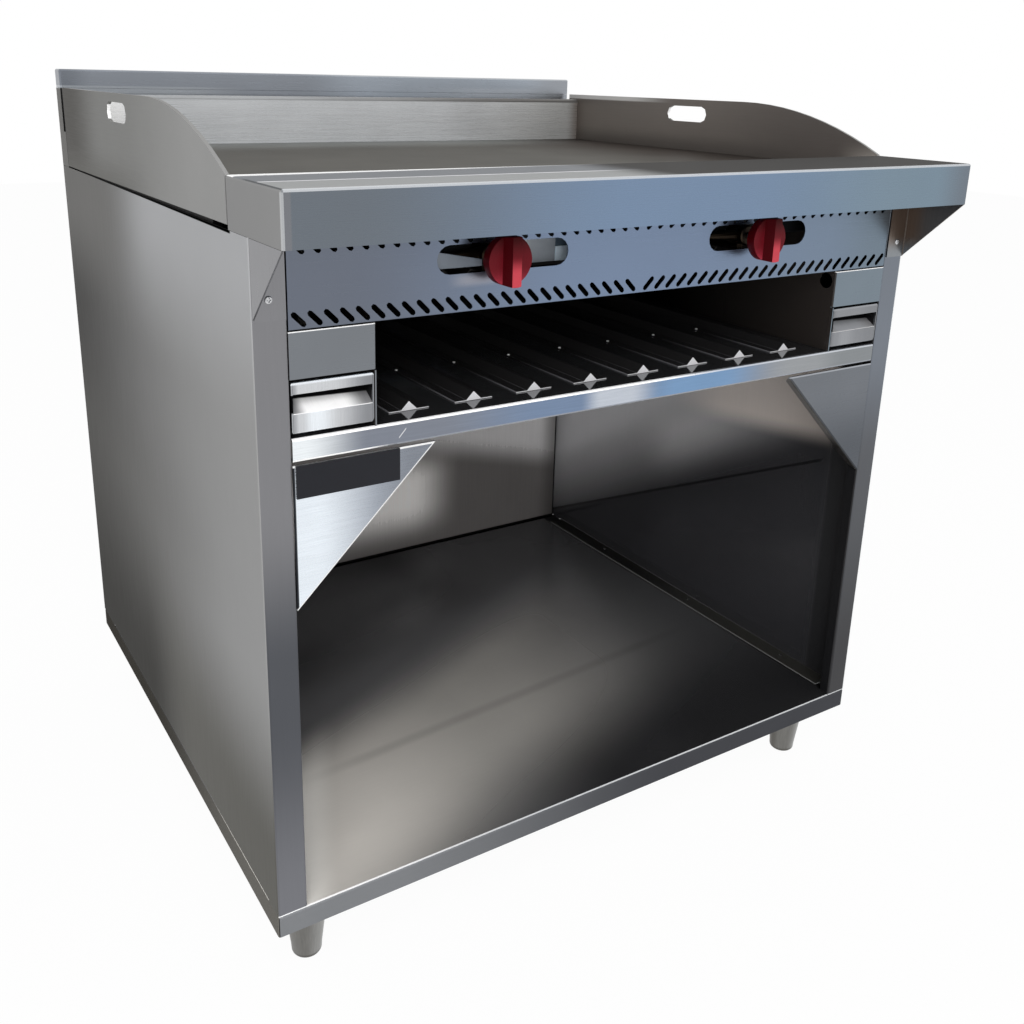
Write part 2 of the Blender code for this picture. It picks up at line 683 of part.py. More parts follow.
def ledge_bracket(cabinet, name, sign):
    """Triangle under the ledge's end, folded into a tab that is screwed to the stile."""
    outer = sign * HALF
    low = SIDE_TOP - BRACKET_HEIGHT
    tab_edge = sign * (BAY_HALF + SHEET)
    panels = [
        [(outer, -GAP, low), (outer, -GAP, SIDE_TOP), (outer, -LEDGE_REACH + SHEET, SIDE_TOP)],
        [(outer, -GAP, low), (outer, -GAP, SIDE_TOP), (tab_edge, -GAP, SIDE_TOP), (tab_edge, -GAP, low)],
    ]
    fold(add(f"{name}_ledge_bracket", flat_panels(panels, (sign, 0, 0)), cabinet, "brushed_stainless"))


def griddle_plate(top):
    """Thick cooking plate between the guards."""
    half = HALF - GUARD_THICKNESS - GAP
    low = (-half, PLATE_FRONT, PLATE_LOW)
    piece = add("griddle_plate", box(low, (half, SPLASH_FACE - GAP, PLATE_TOP)), top, "griddle_steel")
    ease(piece, PLATE_EDGE)


def guard(top, name, sign):
    """Side guard: level at the back, then an arc down to the ledge, with a hand hole."""
    run = GUARD_FLAT_START - GUARD_FRONT
    drop = GUARD_RISE - GUARD_NOSE
    radius = (run * run + drop * drop) / (2 * drop)
    sweep = math.asin(run / radius)
    outline = [(GUARD_FRONT, SIDE_TOP + GUARD_SLIT_FRONT), (GUARD_BACK, SIDE_TOP + GUARD_SLIT_BACK),
               (GUARD_BACK, GUARD_TOP)]
    for i in range(GUARD_ARC_STEPS + 1):
        angle = sweep * i / GUARD_ARC_STEPS
        outline.append((GUARD_FLAT_START - radius * math.sin(angle),
                        GUARD_TOP - radius * (1 - math.cos(angle))))
    low, high = sorted((sign * HALF, sign * (HALF - GUARD_THICKNESS)))
    piece = add(f"{name}_guard", prism(outline, "x", low, high), top, "brushed_stainless")
    middle = HAND_HOLE_Y - max(sign, 0) * RIGHT_HOLE_FORWARD
    hole = obround(HAND_HOLE_LENGTH, HAND_HOLE_HEIGHT, 0, (middle, GUARD_TOP - HAND_HOLE_DROP))
    combine(piece, prism(hole, "x", low - SHEET, high + SHEET), "DIFFERENCE")


def back_splash(top):
    """Upright behind the plate, with its upper edge folded back."""
    half = HALF - GUARD_THICKNESS - GAP
    high = GUARD_TOP - SPLASH_DROP
    path = [(SPLASH_FACE, SIDE_TOP + GUARD_SLIT_FRONT), (SPLASH_FACE, high), (SPLASH_FACE + SPLASH_HEM, high)]
    section = sheet_section(path, -1, SPLASH_THICKNESS)
    add("back_splash", prism(section, "x", -half, half), top, "brushed_stainless")


def griddle_rest(cabinet, name, sign):
    """Bar on the side panel that carries the griddle plate, tapered to clear the guard."""
    knee = SIDE_TOP - GAP
    top = PLATE_LOW - GAP
    inner = INNER_HALF - REST_THICKNESS
    section = [(INNER_HALF, knee - REST_LEG), (INNER_HALF, knee - REST_TAPER), (inner + REST_HEAD, top),
               (inner, top), (inner, knee - REST_LEG)]
    outline = [(sign * x, z) for x, z in section]
    add(f"{name}_griddle_rest", prism(outline, "y", TROUGH_BACK + REST_START, SPLASH_FACE), cabinet,
        "galvanised_steel")


def grease_trough(cabinet):
    """Gutter under the plate's front edge, with a drain spout over each drawer."""
    low = (-PANEL_HALF, TROUGH_FRONT, TROUGH_FLOOR)
    piece = add("grease_trough", pan(low, (PANEL_HALF, TROUGH_BACK, TROUGH_TOP), 1), cabinet,
                "brushed_stainless")
    fold(piece)
    middle = (TROUGH_FRONT + TROUGH_BACK) / 2
    spout_low = DRAWER_BASE + DRAWER_HEIGHT + SPOUT_DRAWER_GAP
    spouts = bmesh.new()
    bores = bmesh.new()
    for sign in SIDES.values():
        place = (sign * DRAWER_X, middle, 0)
        rod(SPOUT_RADIUS, spout_low, TROUGH_FLOOR + SHEET / 2, "z", place, shape=spouts)
        rod(SPOUT_RADIUS - SPOUT_WALL, spout_low - SHEET, TROUGH_FLOOR + 2 * SHEET, "z", place, shape=bores)
    combine(piece, spouts, "UNION")
    combine(piece, bores, "DIFFERENCE")


def gas_manifold(cabinet):
    """Square gas tube between the columns, behind the control panel."""
    reach = CAVITY_HALF - GAP
    half = MANIFOLD_SIZE / 2
    low = (-reach, MANIFOLD_SETBACK, MANIFOLD_Z - half)
    piece = add("gas_manifold", box(low, (reach, MANIFOLD_BACK, MANIFOLD_TOP)), cabinet,
                "galvanised_steel")
    ease(piece, 2 * SHEET)


def supply_pipe(cabinet):
    """Gas pipe from the manifold to a coupling in the rear cover."""
    start = MANIFOLD_BACK + GAP
    neck = DEPTH - COUPLING_LENGTH
    profile = [(0, start), (SUPPLY_RADIUS, start), (SUPPLY_RADIUS, neck), (COUPLING_RADIUS, neck),
               (COUPLING_RADIUS, DEPTH), (COUPLING_BORE, DEPTH), (COUPLING_BORE, DEPTH - COUPLING_BORE_DEPTH),
               (0, DEPTH - COUPLING_BORE_DEPTH)]
    add("supply_pipe", turned(profile, "y", (SUPPLY_X, 0, MANIFOLD_Z)), cabinet, "galvanised_steel", True)


def gas_valve(cabinet, name, x):
    """Valve body in front of the manifold, with a side arm and an outlet spud to the burner."""
    end = MANIFOLD_SETBACK - GAP
    rim = VALVE_RADIUS - SHEET
    profile = [(0, VALVE_START), (rim, VALVE_START), (VALVE_RADIUS, VALVE_START + SHEET),
               (VALVE_RADIUS, end), (0, end)]
    piece = add(f"{name}_gas_valve", turned(profile, "y", (x, 0, KNOB_Z)), cabinet, "valve_brass", True)
    middle = (VALVE_START + end) / 2
    arm = [(0, -VALVE_ARM_LENGTH), (VALVE_ARM_TIP, -VALVE_ARM_LENGTH), (VALVE_ARM_RADIUS, 0), (0, 0)]
    combine(piece, turned(arm, "x", (x, middle, KNOB_Z), ROUND_STEPS // 2), "UNION")
    spud = rod(SPUD_RADIUS, middle, SPUD_REACH, "y", (x, 0, BURNER_Z), ROUND_STEPS // 2)
    combine(piece, spud, "UNION")


def valve_knob(cabinet, name, x):
    """Knob and its stem, turned together about the valve's axis."""
    holder = empty(f"{name}_valve", cabinet, (x, 0, KNOB_Z))
    stem = rod(STEM_RADIUS, -KNOB_STANDOFF + GAP, VALVE_START - GAP, "y", steps=ROUND_STEPS // 2)
    add(f"{name}_valve_stem", stem, holder, "galvanised_steel", True)
    face = -KNOB_STANDOFF - KNOB_SKIRT
    tip = face - KNOB_GRIP
    rim = KNOB_RADIUS - SHEET
    skirt = [(0, -KNOB_STANDOFF), (KNOB_RADIUS, -KNOB_STANDOFF), (KNOB_RADIUS, face + SHEET), (rim, face),
             (0, face)]
    piece = add(f"{name}_knob", turned(skirt, "y", steps=FINE_STEPS), holder, "red_plastic", True)
    foot = KNOB_GRIP_FOOT / 2
    edge = KNOB_GRIP_WIDTH / 2
    section = [(-foot, face + SHEET), (foot, face + SHEET), (edge, tip), (-edge, tip)]
    grip = add(f"{name}_knob_grip", prism(section, "z", -KNOB_RADIUS, KNOB_RADIUS), holder)
    grip.hide_render = True
    grip.display_type = "WIRE"
    round_off = rod(rim, tip - SHEET, face + 2 * SHEET, "y", steps=FINE_STEPS)
    combine(grip, round_off, "INTERSECT")
    union = piece.modifiers.new("grip", "BOOLEAN")
    union.operation = "UNION"
    union.solver = "EXACT"
    union.object = grip


def burner(cabinet, name, x):
    """Two-tube burner: a mixer bell at the valve's spud, a header across and two tubes back."""
    end = BACK_FACE - BURNER_BACK_GAP
    reach = BURNER_SPREAD / 2
    header = rod(BURNER_RADIUS, x - reach - BURNER_RADIUS, x + reach + BURNER_RADIUS, "x",
                 (0, BURNER_HEADER_Y, BURNER_Z), ROUND_STEPS // 2)
    piece = add(f"{name}_burner", header, cabinet, "cast_iron", True)
    tubes = bmesh.new()
    for sign in SIDES.values():
        rod(BURNER_RADIUS, BURNER_HEADER_Y, end, "y", (x + sign * reach, 0, BURNER_Z), ROUND_STEPS // 2,
            tubes)
    combine(piece, tubes, "UNION")
    bell = MIXER_START + MIXER_BELL
    mixer = [(0, bell), (MIXER_THROAT - MIXER_WALL, bell), (MIXER_MOUTH - MIXER_WALL, MIXER_START),
             (MIXER_MOUTH, MIXER_START), (MIXER_THROAT, bell), (MIXER_THROAT, BURNER_HEADER_Y),
             (0, BURNER_HEADER_Y)]
    combine(piece, turned(mixer, "y", (x, 0, BURNER_Z), ROUND_STEPS // 2), "UNION")


def burner_supports(cabinet):
    """Two angle bars between the columns that carry the burner tubes."""
    top = BURNER_Z - BURNER_RADIUS - GAP
    reach = CAVITY_HALF - GAP
    places = {"front": SUPPORT_FRONT_Y, "rear": BACK_FACE - SUPPORT_BACK_GAP}
    for name, y in places.items():
        path = [(y, top - SUPPORT_LEG), (y, top), (y + SUPPORT_LEG, top)]
        section = sheet_section(path, -1, SUPPORT_SHEET)
        add(f"{name}_burner_support", prism(section, "x", -reach, reach), cabinet, "galvanised_steel")


def flue_riser(cabinet):
    """Stepped duct behind the splash, and its cap with exhaust slots on top."""
    front = BACK_FACE + DUCT_SETBACK
    step = front + DUCT_STEP
    low = SIDE_TOP + GAP
    knee = low + DUCT_STEP_HEIGHT
    past = 4 * SHEET
    outer = [(front, low), (front, knee), (step, knee), (step, DUCT_TOP), (DEPTH, DUCT_TOP), (DEPTH, low)]
    inner = [(front + SHEET, low - past), (front + SHEET, knee - SHEET), (step + SHEET, knee - SHEET),
             (step + SHEET, DUCT_TOP + past), (DEPTH - SHEET, DUCT_TOP + past), (DEPTH - SHEET, low - past)]
    duct = add("flue_duct", prism(outer, "x", -HALF, HALF), cabinet, "brushed_stainless")
    combine(duct, prism(inner, "x", -HALF + SHEET, HALF - SHEET), "DIFFERENCE")
    top = CAP_LOW + CAP_HEIGHT
    cap_front = step - CAP_LIP
    cap = add("flue_cap", pan((-HALF, cap_front, CAP_LOW), (HALF, DEPTH, top), -1), cabinet,
              "brushed_stainless")
    fold(cap)
    slots = bmesh.new()
    for i in range(CAP_SLOT_COUNT):
        x = (i - (CAP_SLOT_COUNT - 1) / 2) * CAP_SLOT_PITCH
        slot = obround(CAP_SLOT_LENGTH, CAP_SLOT_WIDTH, 0, (x, (cap_front + DEPTH) / 2), 3)
        prism(slot, "z", top - 2 * SHEET, top + SHEET, slots)
    combine(cap, slots, "DIFFERENCE")


def foot(cabinet, name, x, y):
    """Levelling foot with its stud, and the socket under the base pan that holds it."""
    ceiling = SKIRT_HEIGHT - SHEET - GAP
    plate_low = ceiling - SOCKET_PLATE_THICKNESS
    half = SOCKET_PLATE / 2
    socket = add(f"{name}_foot_socket", box((x - half, y - half, plate_low), (x + half, y + half, ceiling)),
                 cabinet, "galvanised_steel")
    boss = rod(SOCKET_RADIUS, SOCKET_LIFT, plate_low + SHEET, "z", (x, y, 0))
    combine(socket, boss, "UNION")
    bore = rod(STUD_RADIUS + GAP, SOCKET_LIFT - SHEET, SOCKET_LIFT + STUD_LENGTH + 2 * GAP, "z", (x, y, 0),
               ROUND_STEPS // 2)
    combine(socket, bore, "DIFFERENCE")
    holder = empty(f"{name}_foot_axis", cabinet, (x, y, 0))
    shoulder = SOCKET_LIFT - GAP
    profile = [(0, SOCKET_LIFT + STUD_LENGTH), (STUD_RADIUS, SOCKET_LIFT + STUD_LENGTH),
               (STUD_RADIUS, shoulder), (FOOT_TOP_RADIUS, shoulder),
               (FOOT_TOP_RADIUS, -FOOT_EDGE), (FOOT_BASE_RADIUS, -FOOT_HEIGHT + FOOT_EDGE),
               (FOOT_BASE_RADIUS - FOOT_EDGE / 3, -FOOT_HEIGHT + FOOT_EDGE / 3),
               (FOOT_BASE_RADIUS - FOOT_EDGE, -FOOT_HEIGHT), (0, -FOOT_HEIGHT)]
    add(f"{name}_foot", turned(profile, "z"), holder, "brushed_stainless", True)


def build():
    """Model every sub-part."""
    clear_scene()
    cabinet = empty("cabinet", None, (0, -(DEPTH - LEDGE_REACH) / 2, FOOT_HEIGHT))
    base_pan(cabinet)
    back_panel(cabinet)
    rear_cover(cabinet)
    broiler_shelf(cabinet)
    rest_bars(cabinet)
    nameplate(cabinet)
    control_panel(cabinet)
    ledge(cabinet)
    grease_trough(cabinet)
    gas_manifold(cabinet)
    supply_pipe(cabinet)
    burner_supports(cabinet)
    flue_riser(cabinet)
    top = empty("griddle_top", cabinet, (0, 0, 0))
    griddle_plate(top)
    back_splash(top)
    for name, sign in SIDES.items():
        side_panel(cabinet, name, sign)
        column(cabinet, name, sign)
        drawer_guide(cabinet, name, sign)
        drawer(cabinet, name, sign)
        gusset(cabinet, name, sign)
        ledge_bracket(cabinet, name, sign)
        griddle_rest(cabinet, name, sign)
        guard(top, name, sign)
        foot(cabinet, f"front_{name}", sign * (HALF - FOOT_SIDE_INSET), FOOT_END_INSET)
        foot(cabinet, f"rear_{name}", sign * (HALF - FOOT_SIDE_INSET), DEPTH - FOOT_END_INSET)
    for name, x in KNOB_PLACES.items():
        gas_valve(cabinet, name, x)
        valve_knob(cabinet, name, x)
        burner(cabinet, name, x)


build()
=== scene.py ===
"""Looks of a stainless griddle range with a broiler shelf: finishes, small pieces and the studio."""

import math

import bmesh
import bpy
import numpy as np
from bpy.props import FloatProperty, FloatVectorProperty, IntProperty, PointerProperty
from mathutils import Matrix, Vector


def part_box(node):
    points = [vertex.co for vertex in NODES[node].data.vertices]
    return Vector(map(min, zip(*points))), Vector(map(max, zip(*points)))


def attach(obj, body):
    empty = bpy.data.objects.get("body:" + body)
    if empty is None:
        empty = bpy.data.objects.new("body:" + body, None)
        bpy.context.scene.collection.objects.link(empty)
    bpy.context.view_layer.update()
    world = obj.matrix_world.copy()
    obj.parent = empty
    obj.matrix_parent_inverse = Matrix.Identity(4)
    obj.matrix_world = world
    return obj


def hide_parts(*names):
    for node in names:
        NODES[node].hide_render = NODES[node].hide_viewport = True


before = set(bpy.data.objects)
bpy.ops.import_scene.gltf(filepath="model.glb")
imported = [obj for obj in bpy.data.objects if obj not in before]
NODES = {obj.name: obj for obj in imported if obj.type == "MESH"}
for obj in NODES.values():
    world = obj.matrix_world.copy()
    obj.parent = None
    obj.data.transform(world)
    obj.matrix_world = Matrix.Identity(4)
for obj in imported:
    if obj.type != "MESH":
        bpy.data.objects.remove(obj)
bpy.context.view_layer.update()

bl_info = {
    "name": "Griddle range looks",
    "version": (1, 0, 0),
    "blender": (4, 5, 0),
    "location": "3D View > Sidebar > Griddle range",
    "description": "Finishes, fasteners and studio for a stainless griddle range",
    "category": "Object",
}

SIDES = {"left": -1, "right": 1}
FEET = [f"{end}_{side}" for end in ("front", "rear") for side in SIDES]
BAR_COUNT = 8
MM = 0.001

# The cabinet's front plane and the levels that the finishes change at, from the frame; the skirt's height
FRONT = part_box("control_panel")[0].y
SHELF_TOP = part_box("broiler_shelf")[1].z
FLOOR_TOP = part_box("base_pan")[1].z
SKIRT = 0.0267


def linear(code):
    """sRGB hex to linear RGBA: the standard curve, a short straight start and then a power of 2.4."""
    part = np.array([int(code[i:i + 2], 16) for i in (1, 3, 5)]) / 255
    curve = np.where(part <= 0.04045, part / 12.92, ((part + 0.055) / 1.055) ** 2.4)
    return (*curve.tolist(), 1.0)


def colour(name, words, code):
    """A colour property whose default is an sRGB hex value."""
    return FloatVectorProperty(name=name, description=words, subtype="COLOR", size=4, min=0, max=1,
                               default=linear(code))


def length(name, words, default):
    """A length property in metres."""
    return FloatProperty(name=name, description=words, default=default, min=0, precision=4, unit="LENGTH")


class GriddleColours(bpy.types.PropertyGroup):
    """Colours of the range's finishes."""

    side_sheet: colour("Side sheet", "Satin stainless of the cabinet's sides", "#A0A0A0")
    apron_sheet: colour("Apron sheet", "Stainless of the ledge's apron", "#70777F")
    panel_sheet: colour("Panel sheet", "Stainless of the slotted control panel", "#6E7480")
    splash_sheet: colour("Splash sheet", "Stainless of the back splash", "#CACCCE")
    plate_steel: colour("Plate steel", "Ground steel of the cooking plate", "#716F6A")
    zinc: colour("Zinc", "Galvanised steel of the gas pipe and hidden brackets", "#8B9299")
    iron: colour("Iron", "Cast iron of the burners", "#2A2827")
    brass: colour("Brass", "Dull brass of the gas valves", "#3A3128")
    knob_red: colour("Knob red", "Moulded red of the valve knobs", "#5E0E18")
    plate_black: colour("Plate black", "Black of the bare plate", "#14151B")
    floor_white: colour("Floor", "Pale studio floor", "#F2F2F2")


class GriddleSizes(bpy.types.PropertyGroup):
    """Sizes of the small pieces."""

    knob_grip: length("Knob grip", "Width of the knob's bar at its crest", 0.0108)
    knob_foot: length("Knob grip foot", "Width of the knob's bar where it meets the face", 0.0184)
    knob_skirt: length("Knob skirt", "Depth of the knob's round skirt", 0.0112)
    knob_reach: length("Knob reach", "How far the knob's bar stands off its face", 0.0120)
    knob_edge: length("Knob edge", "Rounding of the knob's edges", 0.0012)
    scoop_low: length("Scoop sill", "Height of the drawer's lower roll", 0.0213)
    scoop_high: length("Scoop lip", "Height of the drawer's upper lip", 0.0398)
    scoop_depth: length("Scoop depth", "Reach of the drawer's finger scoop", 0.0220)
    scoop_rise: length("Scoop rise", "Rise of the scoop's sloping floor", 0.0120)
    scoop_cheek: length("Scoop cheek", "Wall at each end of the scoop", 0.0014)
    foot_taper: length("Foot taper", "How much narrower a foot is at its bottom, on its radius", 0.0097)
    foot_edge: length("Foot edge", "Rounding at the bottom of a foot", 0.0060)
    screw_head: length("Screw head", "Radius of a cross-head screw", 0.0037)
    rivet_head: length("Rivet head", "Radius of a blind rivet's head", 0.0024)
    bar_rivet: length("Bar rivet", "Radius of the rivet on a rest bar's wing", 0.0017)
    bead: length("Sealant bead", "Radius of the bead in the floor's rear corners", 0.0014)
    round_steps: IntProperty(name="Round steps", description="Steps round a turned piece", default=64, min=8)


# ---------------------------------------------------------------- surfaces


def turned(profile, centre, axis, steps):
    """A solid of revolution: each (radius, distance) of the profile swept once round the axis."""
    radius, along = np.array(profile, float).T
    angle = np.linspace(0, 2 * math.pi, steps, endpoint=False)
    side = [i for i in range(3) if i != axis]
    points = np.zeros((len(radius), steps, 3))
    points[..., side[0]] = radius[:, None] * np.cos(angle)
    points[..., side[1]] = radius[:, None] * np.sin(angle)
    points[..., axis] = along[:, None]
    return points + np.array(centre)


def arc(centre, radius, start, end, steps):
    """Points on a circle between two angles in degrees."""
    angle = np.radians(np.linspace(start, end, steps))
    return np.stack([centre[0] + radius * np.cos(angle), centre[1] + radius * np.sin(angle)], -1)


def grid_faces(rows, columns, closed):
    """Corner numbers of the quads between neighbouring rows and columns of a grid of points, closed round or open."""
    row, column = np.meshgrid(np.arange(rows - 1), np.arange(columns if closed else columns - 1), indexing="ij")
    below, right = row + 1, (column + 1) % columns
    corners = [row * columns + column, row * columns + right, below * columns + right, below * columns + column]
    return np.stack(corners, -1).reshape(-1, 4)


def add_object(name, data):
    """A new object in the scene."""
    item = bpy.data.objects.new(name, data)
    bpy.context.scene.collection.objects.link(item)
    return item


def make_piece(name, grids, body, material, stands_for=(), sharp=35, bevel=0):
    """One mesh from grids of points: seams and poles merged, faces turned outwards, edges over sharp kept crisp."""
    points, faces, count = [], [], 0
    for grid in grids:
        rows, columns = grid.shape[:2]
        faces.append(grid_faces(rows, columns, True) + count)
        points.append(grid.reshape(-1, 3))
        count += rows * columns
    mesh = bpy.data.meshes.new(name)
    mesh.from_pydata(np.concatenate(points).tolist(), [], np.concatenate(faces).tolist())
    solid = bmesh.new()
    solid.from_mesh(mesh)
    bmesh.ops.remove_doubles(solid, verts=solid.verts, dist=1e-6)
    bmesh.ops.recalc_face_normals(solid, faces=solid.faces)
    solid.to_mesh(mesh)
    solid.free()
    mesh.shade_smooth()
    mesh.set_sharp_from_angle(angle=math.radians(sharp))
    mesh.materials.append(material)
    piece = add_object(name, mesh)
    if bevel:
        edge = piece.modifiers.new("edge", "BEVEL")
        edge.width, edge.segments, edge.limit_method = bevel, 2, "ANGLE"
        edge.angle_limit = math.radians(sharp)
    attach(piece, body)
    if stands_for:
        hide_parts(*stands_for)


# ---------------------------------------------------------------- finishes


def add_node(tree, kind, settings=None, inputs=None):
    """One shader node with its settings; an input is a value, or another node's output to link."""
    node = tree.nodes.new(kind)
    for key, value in (settings or {}).items():
        setattr(node, key, value)
    for key, value in (inputs or {}).items():
        if isinstance(value, bpy.types.NodeSocket):
            tree.links.new(value, node.inputs[key])
        else:
            node.inputs[key].default_value = value
    return node


def empty_tree(owner):
    """The node tree of a new material or world, emptied."""
    owner.use_nodes = True
    owner.node_tree.nodes.clear()
    return owner.node_tree


def at(way, start, end):
    """Rule of a wash: a smooth step between two distances along a direction of the row frame."""
    return "Object", way, start, end


def facing(way, start, end):
    """Rule of a wash: a smooth step between two cosines of the angle between the surface and a direction."""
    return "Normal", way, start, end


def wash(code, *rules, rough=None, metal=None, strength=1.0):
    """A tone laid over a finish where all its rules hold, with its own roughness or metal share where given."""
    return {"tone": linear(code), "rules": rules, "rough": rough, "metal": metal, "strength": strength}


def combine(tree, operation, a, b):
    """What one Math node gives for two inputs."""
    return add_node(tree, "ShaderNodeMath", {"operation": operation}, {0: a, 1: b}).outputs[0]


def share(tree, place, rules, strength):
    """How far a wash holds, 0 to 1: its strength times the smooth steps of its rules, which may also fall."""
    for kind, way, start, end in rules:
        value = add_node(tree, "ShaderNodeVectorMath", {"operation": "DOT_PRODUCT"},
                         {0: place.outputs[kind], 1: way}).outputs["Value"]
        step = add_node(tree, "ShaderNodeMapRange", {"interpolation_type": "SMOOTHSTEP"},
                        {"Value": value, "From Min": start, "From Max": end}).outputs[0]
        strength = combine(tree, "MULTIPLY", strength, step)
    return strength


# The noise stays mostly between these two values, which give a change its lower and its upper end
NOISE = {"From Min": 0.3, "From Max": 0.7}
# Height of the streaks' relief
GRAIN = 0.0003


def finish(name, base, roughness, brush, depth, washes=(), cloud=0.03, cloud_mm=90, metallic=1.0, bump=0.06, edge=1.0,
           gloss=0.5, spread=0.04):
    """A worked surface: streaks, soft cloudy tone, and washes, most of them painted light, shade and reflections, a few
    of them real marks such as a scratch.

    brush is the streaks' size along x, y and z in mm. Real brushing is about 0.1 mm wide, too fine for the render, so
    it is drawn 1 to 3 mm wide. spread is the streaks' change of roughness, edge the grey of the metal's glancing
    reflection, and gloss the mirror level of its other share.
    """
    material = bpy.data.materials.new(name)
    tree = empty_tree(material)
    place = add_node(tree, "ShaderNodeTexCoord")
    patch = add_node(tree, "ShaderNodeTexNoise", None,
                     {"Vector": place.outputs["Object"], "Scale": 1 / (cloud_mm * MM), "Detail": 3.0})
    drawn = add_node(tree, "ShaderNodeMapping", {"vector_type": "POINT"},
                     {"Vector": place.outputs["Object"], "Scale": [1 / (mm * MM) for mm in brush]})
    streak = add_node(tree, "ShaderNodeTexNoise", None,
                      {"Vector": drawn.outputs[0], "Scale": 1.0, "Detail": 4.0, "Roughness": 0.6})
    rough = add_node(tree, "ShaderNodeMapRange", None,
                     {"Value": streak.outputs[0], **NOISE, "To Min": max(roughness - spread, 0.02),
                      "To Max": roughness + spread}).outputs[0]
    tone, level = base, {"rough": rough, "metal": metallic}
    for layer in washes:
        factor = share(tree, place, layer["rules"], layer["strength"])
        tone = add_node(tree, "ShaderNodeMix", {"data_type": "RGBA"},
                        {0: factor, 6: tone, 7: layer["tone"]}).outputs[2]
        for key, value in level.items():
            if layer[key] is not None:
                level[key] = add_node(tree, "ShaderNodeMix", {"data_type": "FLOAT"},
                                      {0: factor, 2: value, 3: layer[key]}).outputs[0]
    for source, swing in ((streak, depth), (patch, cloud)):
        shade = add_node(tree, "ShaderNodeMapRange", None,
                         {"Value": source.outputs[0], **NOISE, "To Min": 1 - swing, "To Max": 1 + swing})
        tone = add_node(tree, "ShaderNodeMix", {"data_type": "RGBA", "blend_type": "MULTIPLY"},
                        {0: 1.0, 6: tone, 7: shade.outputs[0]}).outputs[2]
    grain = add_node(tree, "ShaderNodeBump", None,
                     {"Strength": bump, "Distance": GRAIN, "Height": streak.outputs[0]})
    shader = add_node(tree, "ShaderNodeBsdfPrincipled", None,
                      {"Base Color": tone, "Metallic": level["metal"], "Roughness": level["rough"],
                       "Normal": grain.outputs[0], "Specular IOR Level": gloss,
                       "Specular Tint": (edge, edge, edge, 1.0)})
    add_node(tree, "ShaderNodeOutputMaterial", None, {"Surface": shader.outputs[0]})
    return material


def dress(names, *look, **more):
    """Give CAD nodes a finish of their own."""
    material = finish(*look, **more)
    for name in names:
        data = NODES[name].data
        data.materials.clear()
        data.materials.append(material)


def both(piece):
    """Names of the left and the right one of a piece."""
    return [f"{side}_{piece}" for side in SIDES]


# Size of a finish's streaks along x, y and z in mm: level, upright, front to back; and of zinc's spangle
LEVEL, UPRIGHT, TO_BACK, SPANGLE = (60, 1.6, 1.6), (1.6, 1.6, 60), (1.6, 60, 1.6), (8, 8, 8)

X, Y, Z = (1, 0, 0), (0, 1, 0), (0, 0, 1)
FACES_FRONT = facing((0, -1, 0), 0.6, 0.9)
FACES_UP = facing(Z, 0.6, 0.9)
FACES_LEFT = facing(X, -0.6, -0.9)
TURNS_LEFT = facing(X, -0.5, -0.9)
UPPER_BEND = facing((0, -0.7, 0.7), 0.85, 0.95)
LOWER_BEND = facing((0, -0.7, -0.7), 0.80, 0.92)


def back(y):
    """Row-frame y of a distance behind the cabinet's front plane."""
    return FRONT + y


def up(z):
    """Row-frame z of a height above the underside of the base."""
    return FLOOR_TOP - SKIRT + z


def behind(start, end):
    """A step between two distances behind the front plane."""
    return at(Y, back(start), back(end))


def above(start, end):
    """A step between two heights above the underside of the base."""
    return at(Z, up(start), up(end))


def slant(slope, start, end):
    """A step between two distances behind the front plane that grow by slope to the right."""
    return at((-slope, 1, 0), back(start), back(end))


def lean(slope, start, end):
    """A step between two heights at the front plane that drop by slope to the back."""
    base = up(0) + slope * FRONT
    return at((0, slope, 1), base + start, base + end)


class GriddleStep:
    """What the operators share: the scene's settings."""

    bl_options = {"REGISTER", "UNDO"}

    @property
    def colours(self):
        return bpy.context.scene.griddle_colours

    @property
    def sizes(self):
        return bpy.context.scene.griddle_sizes


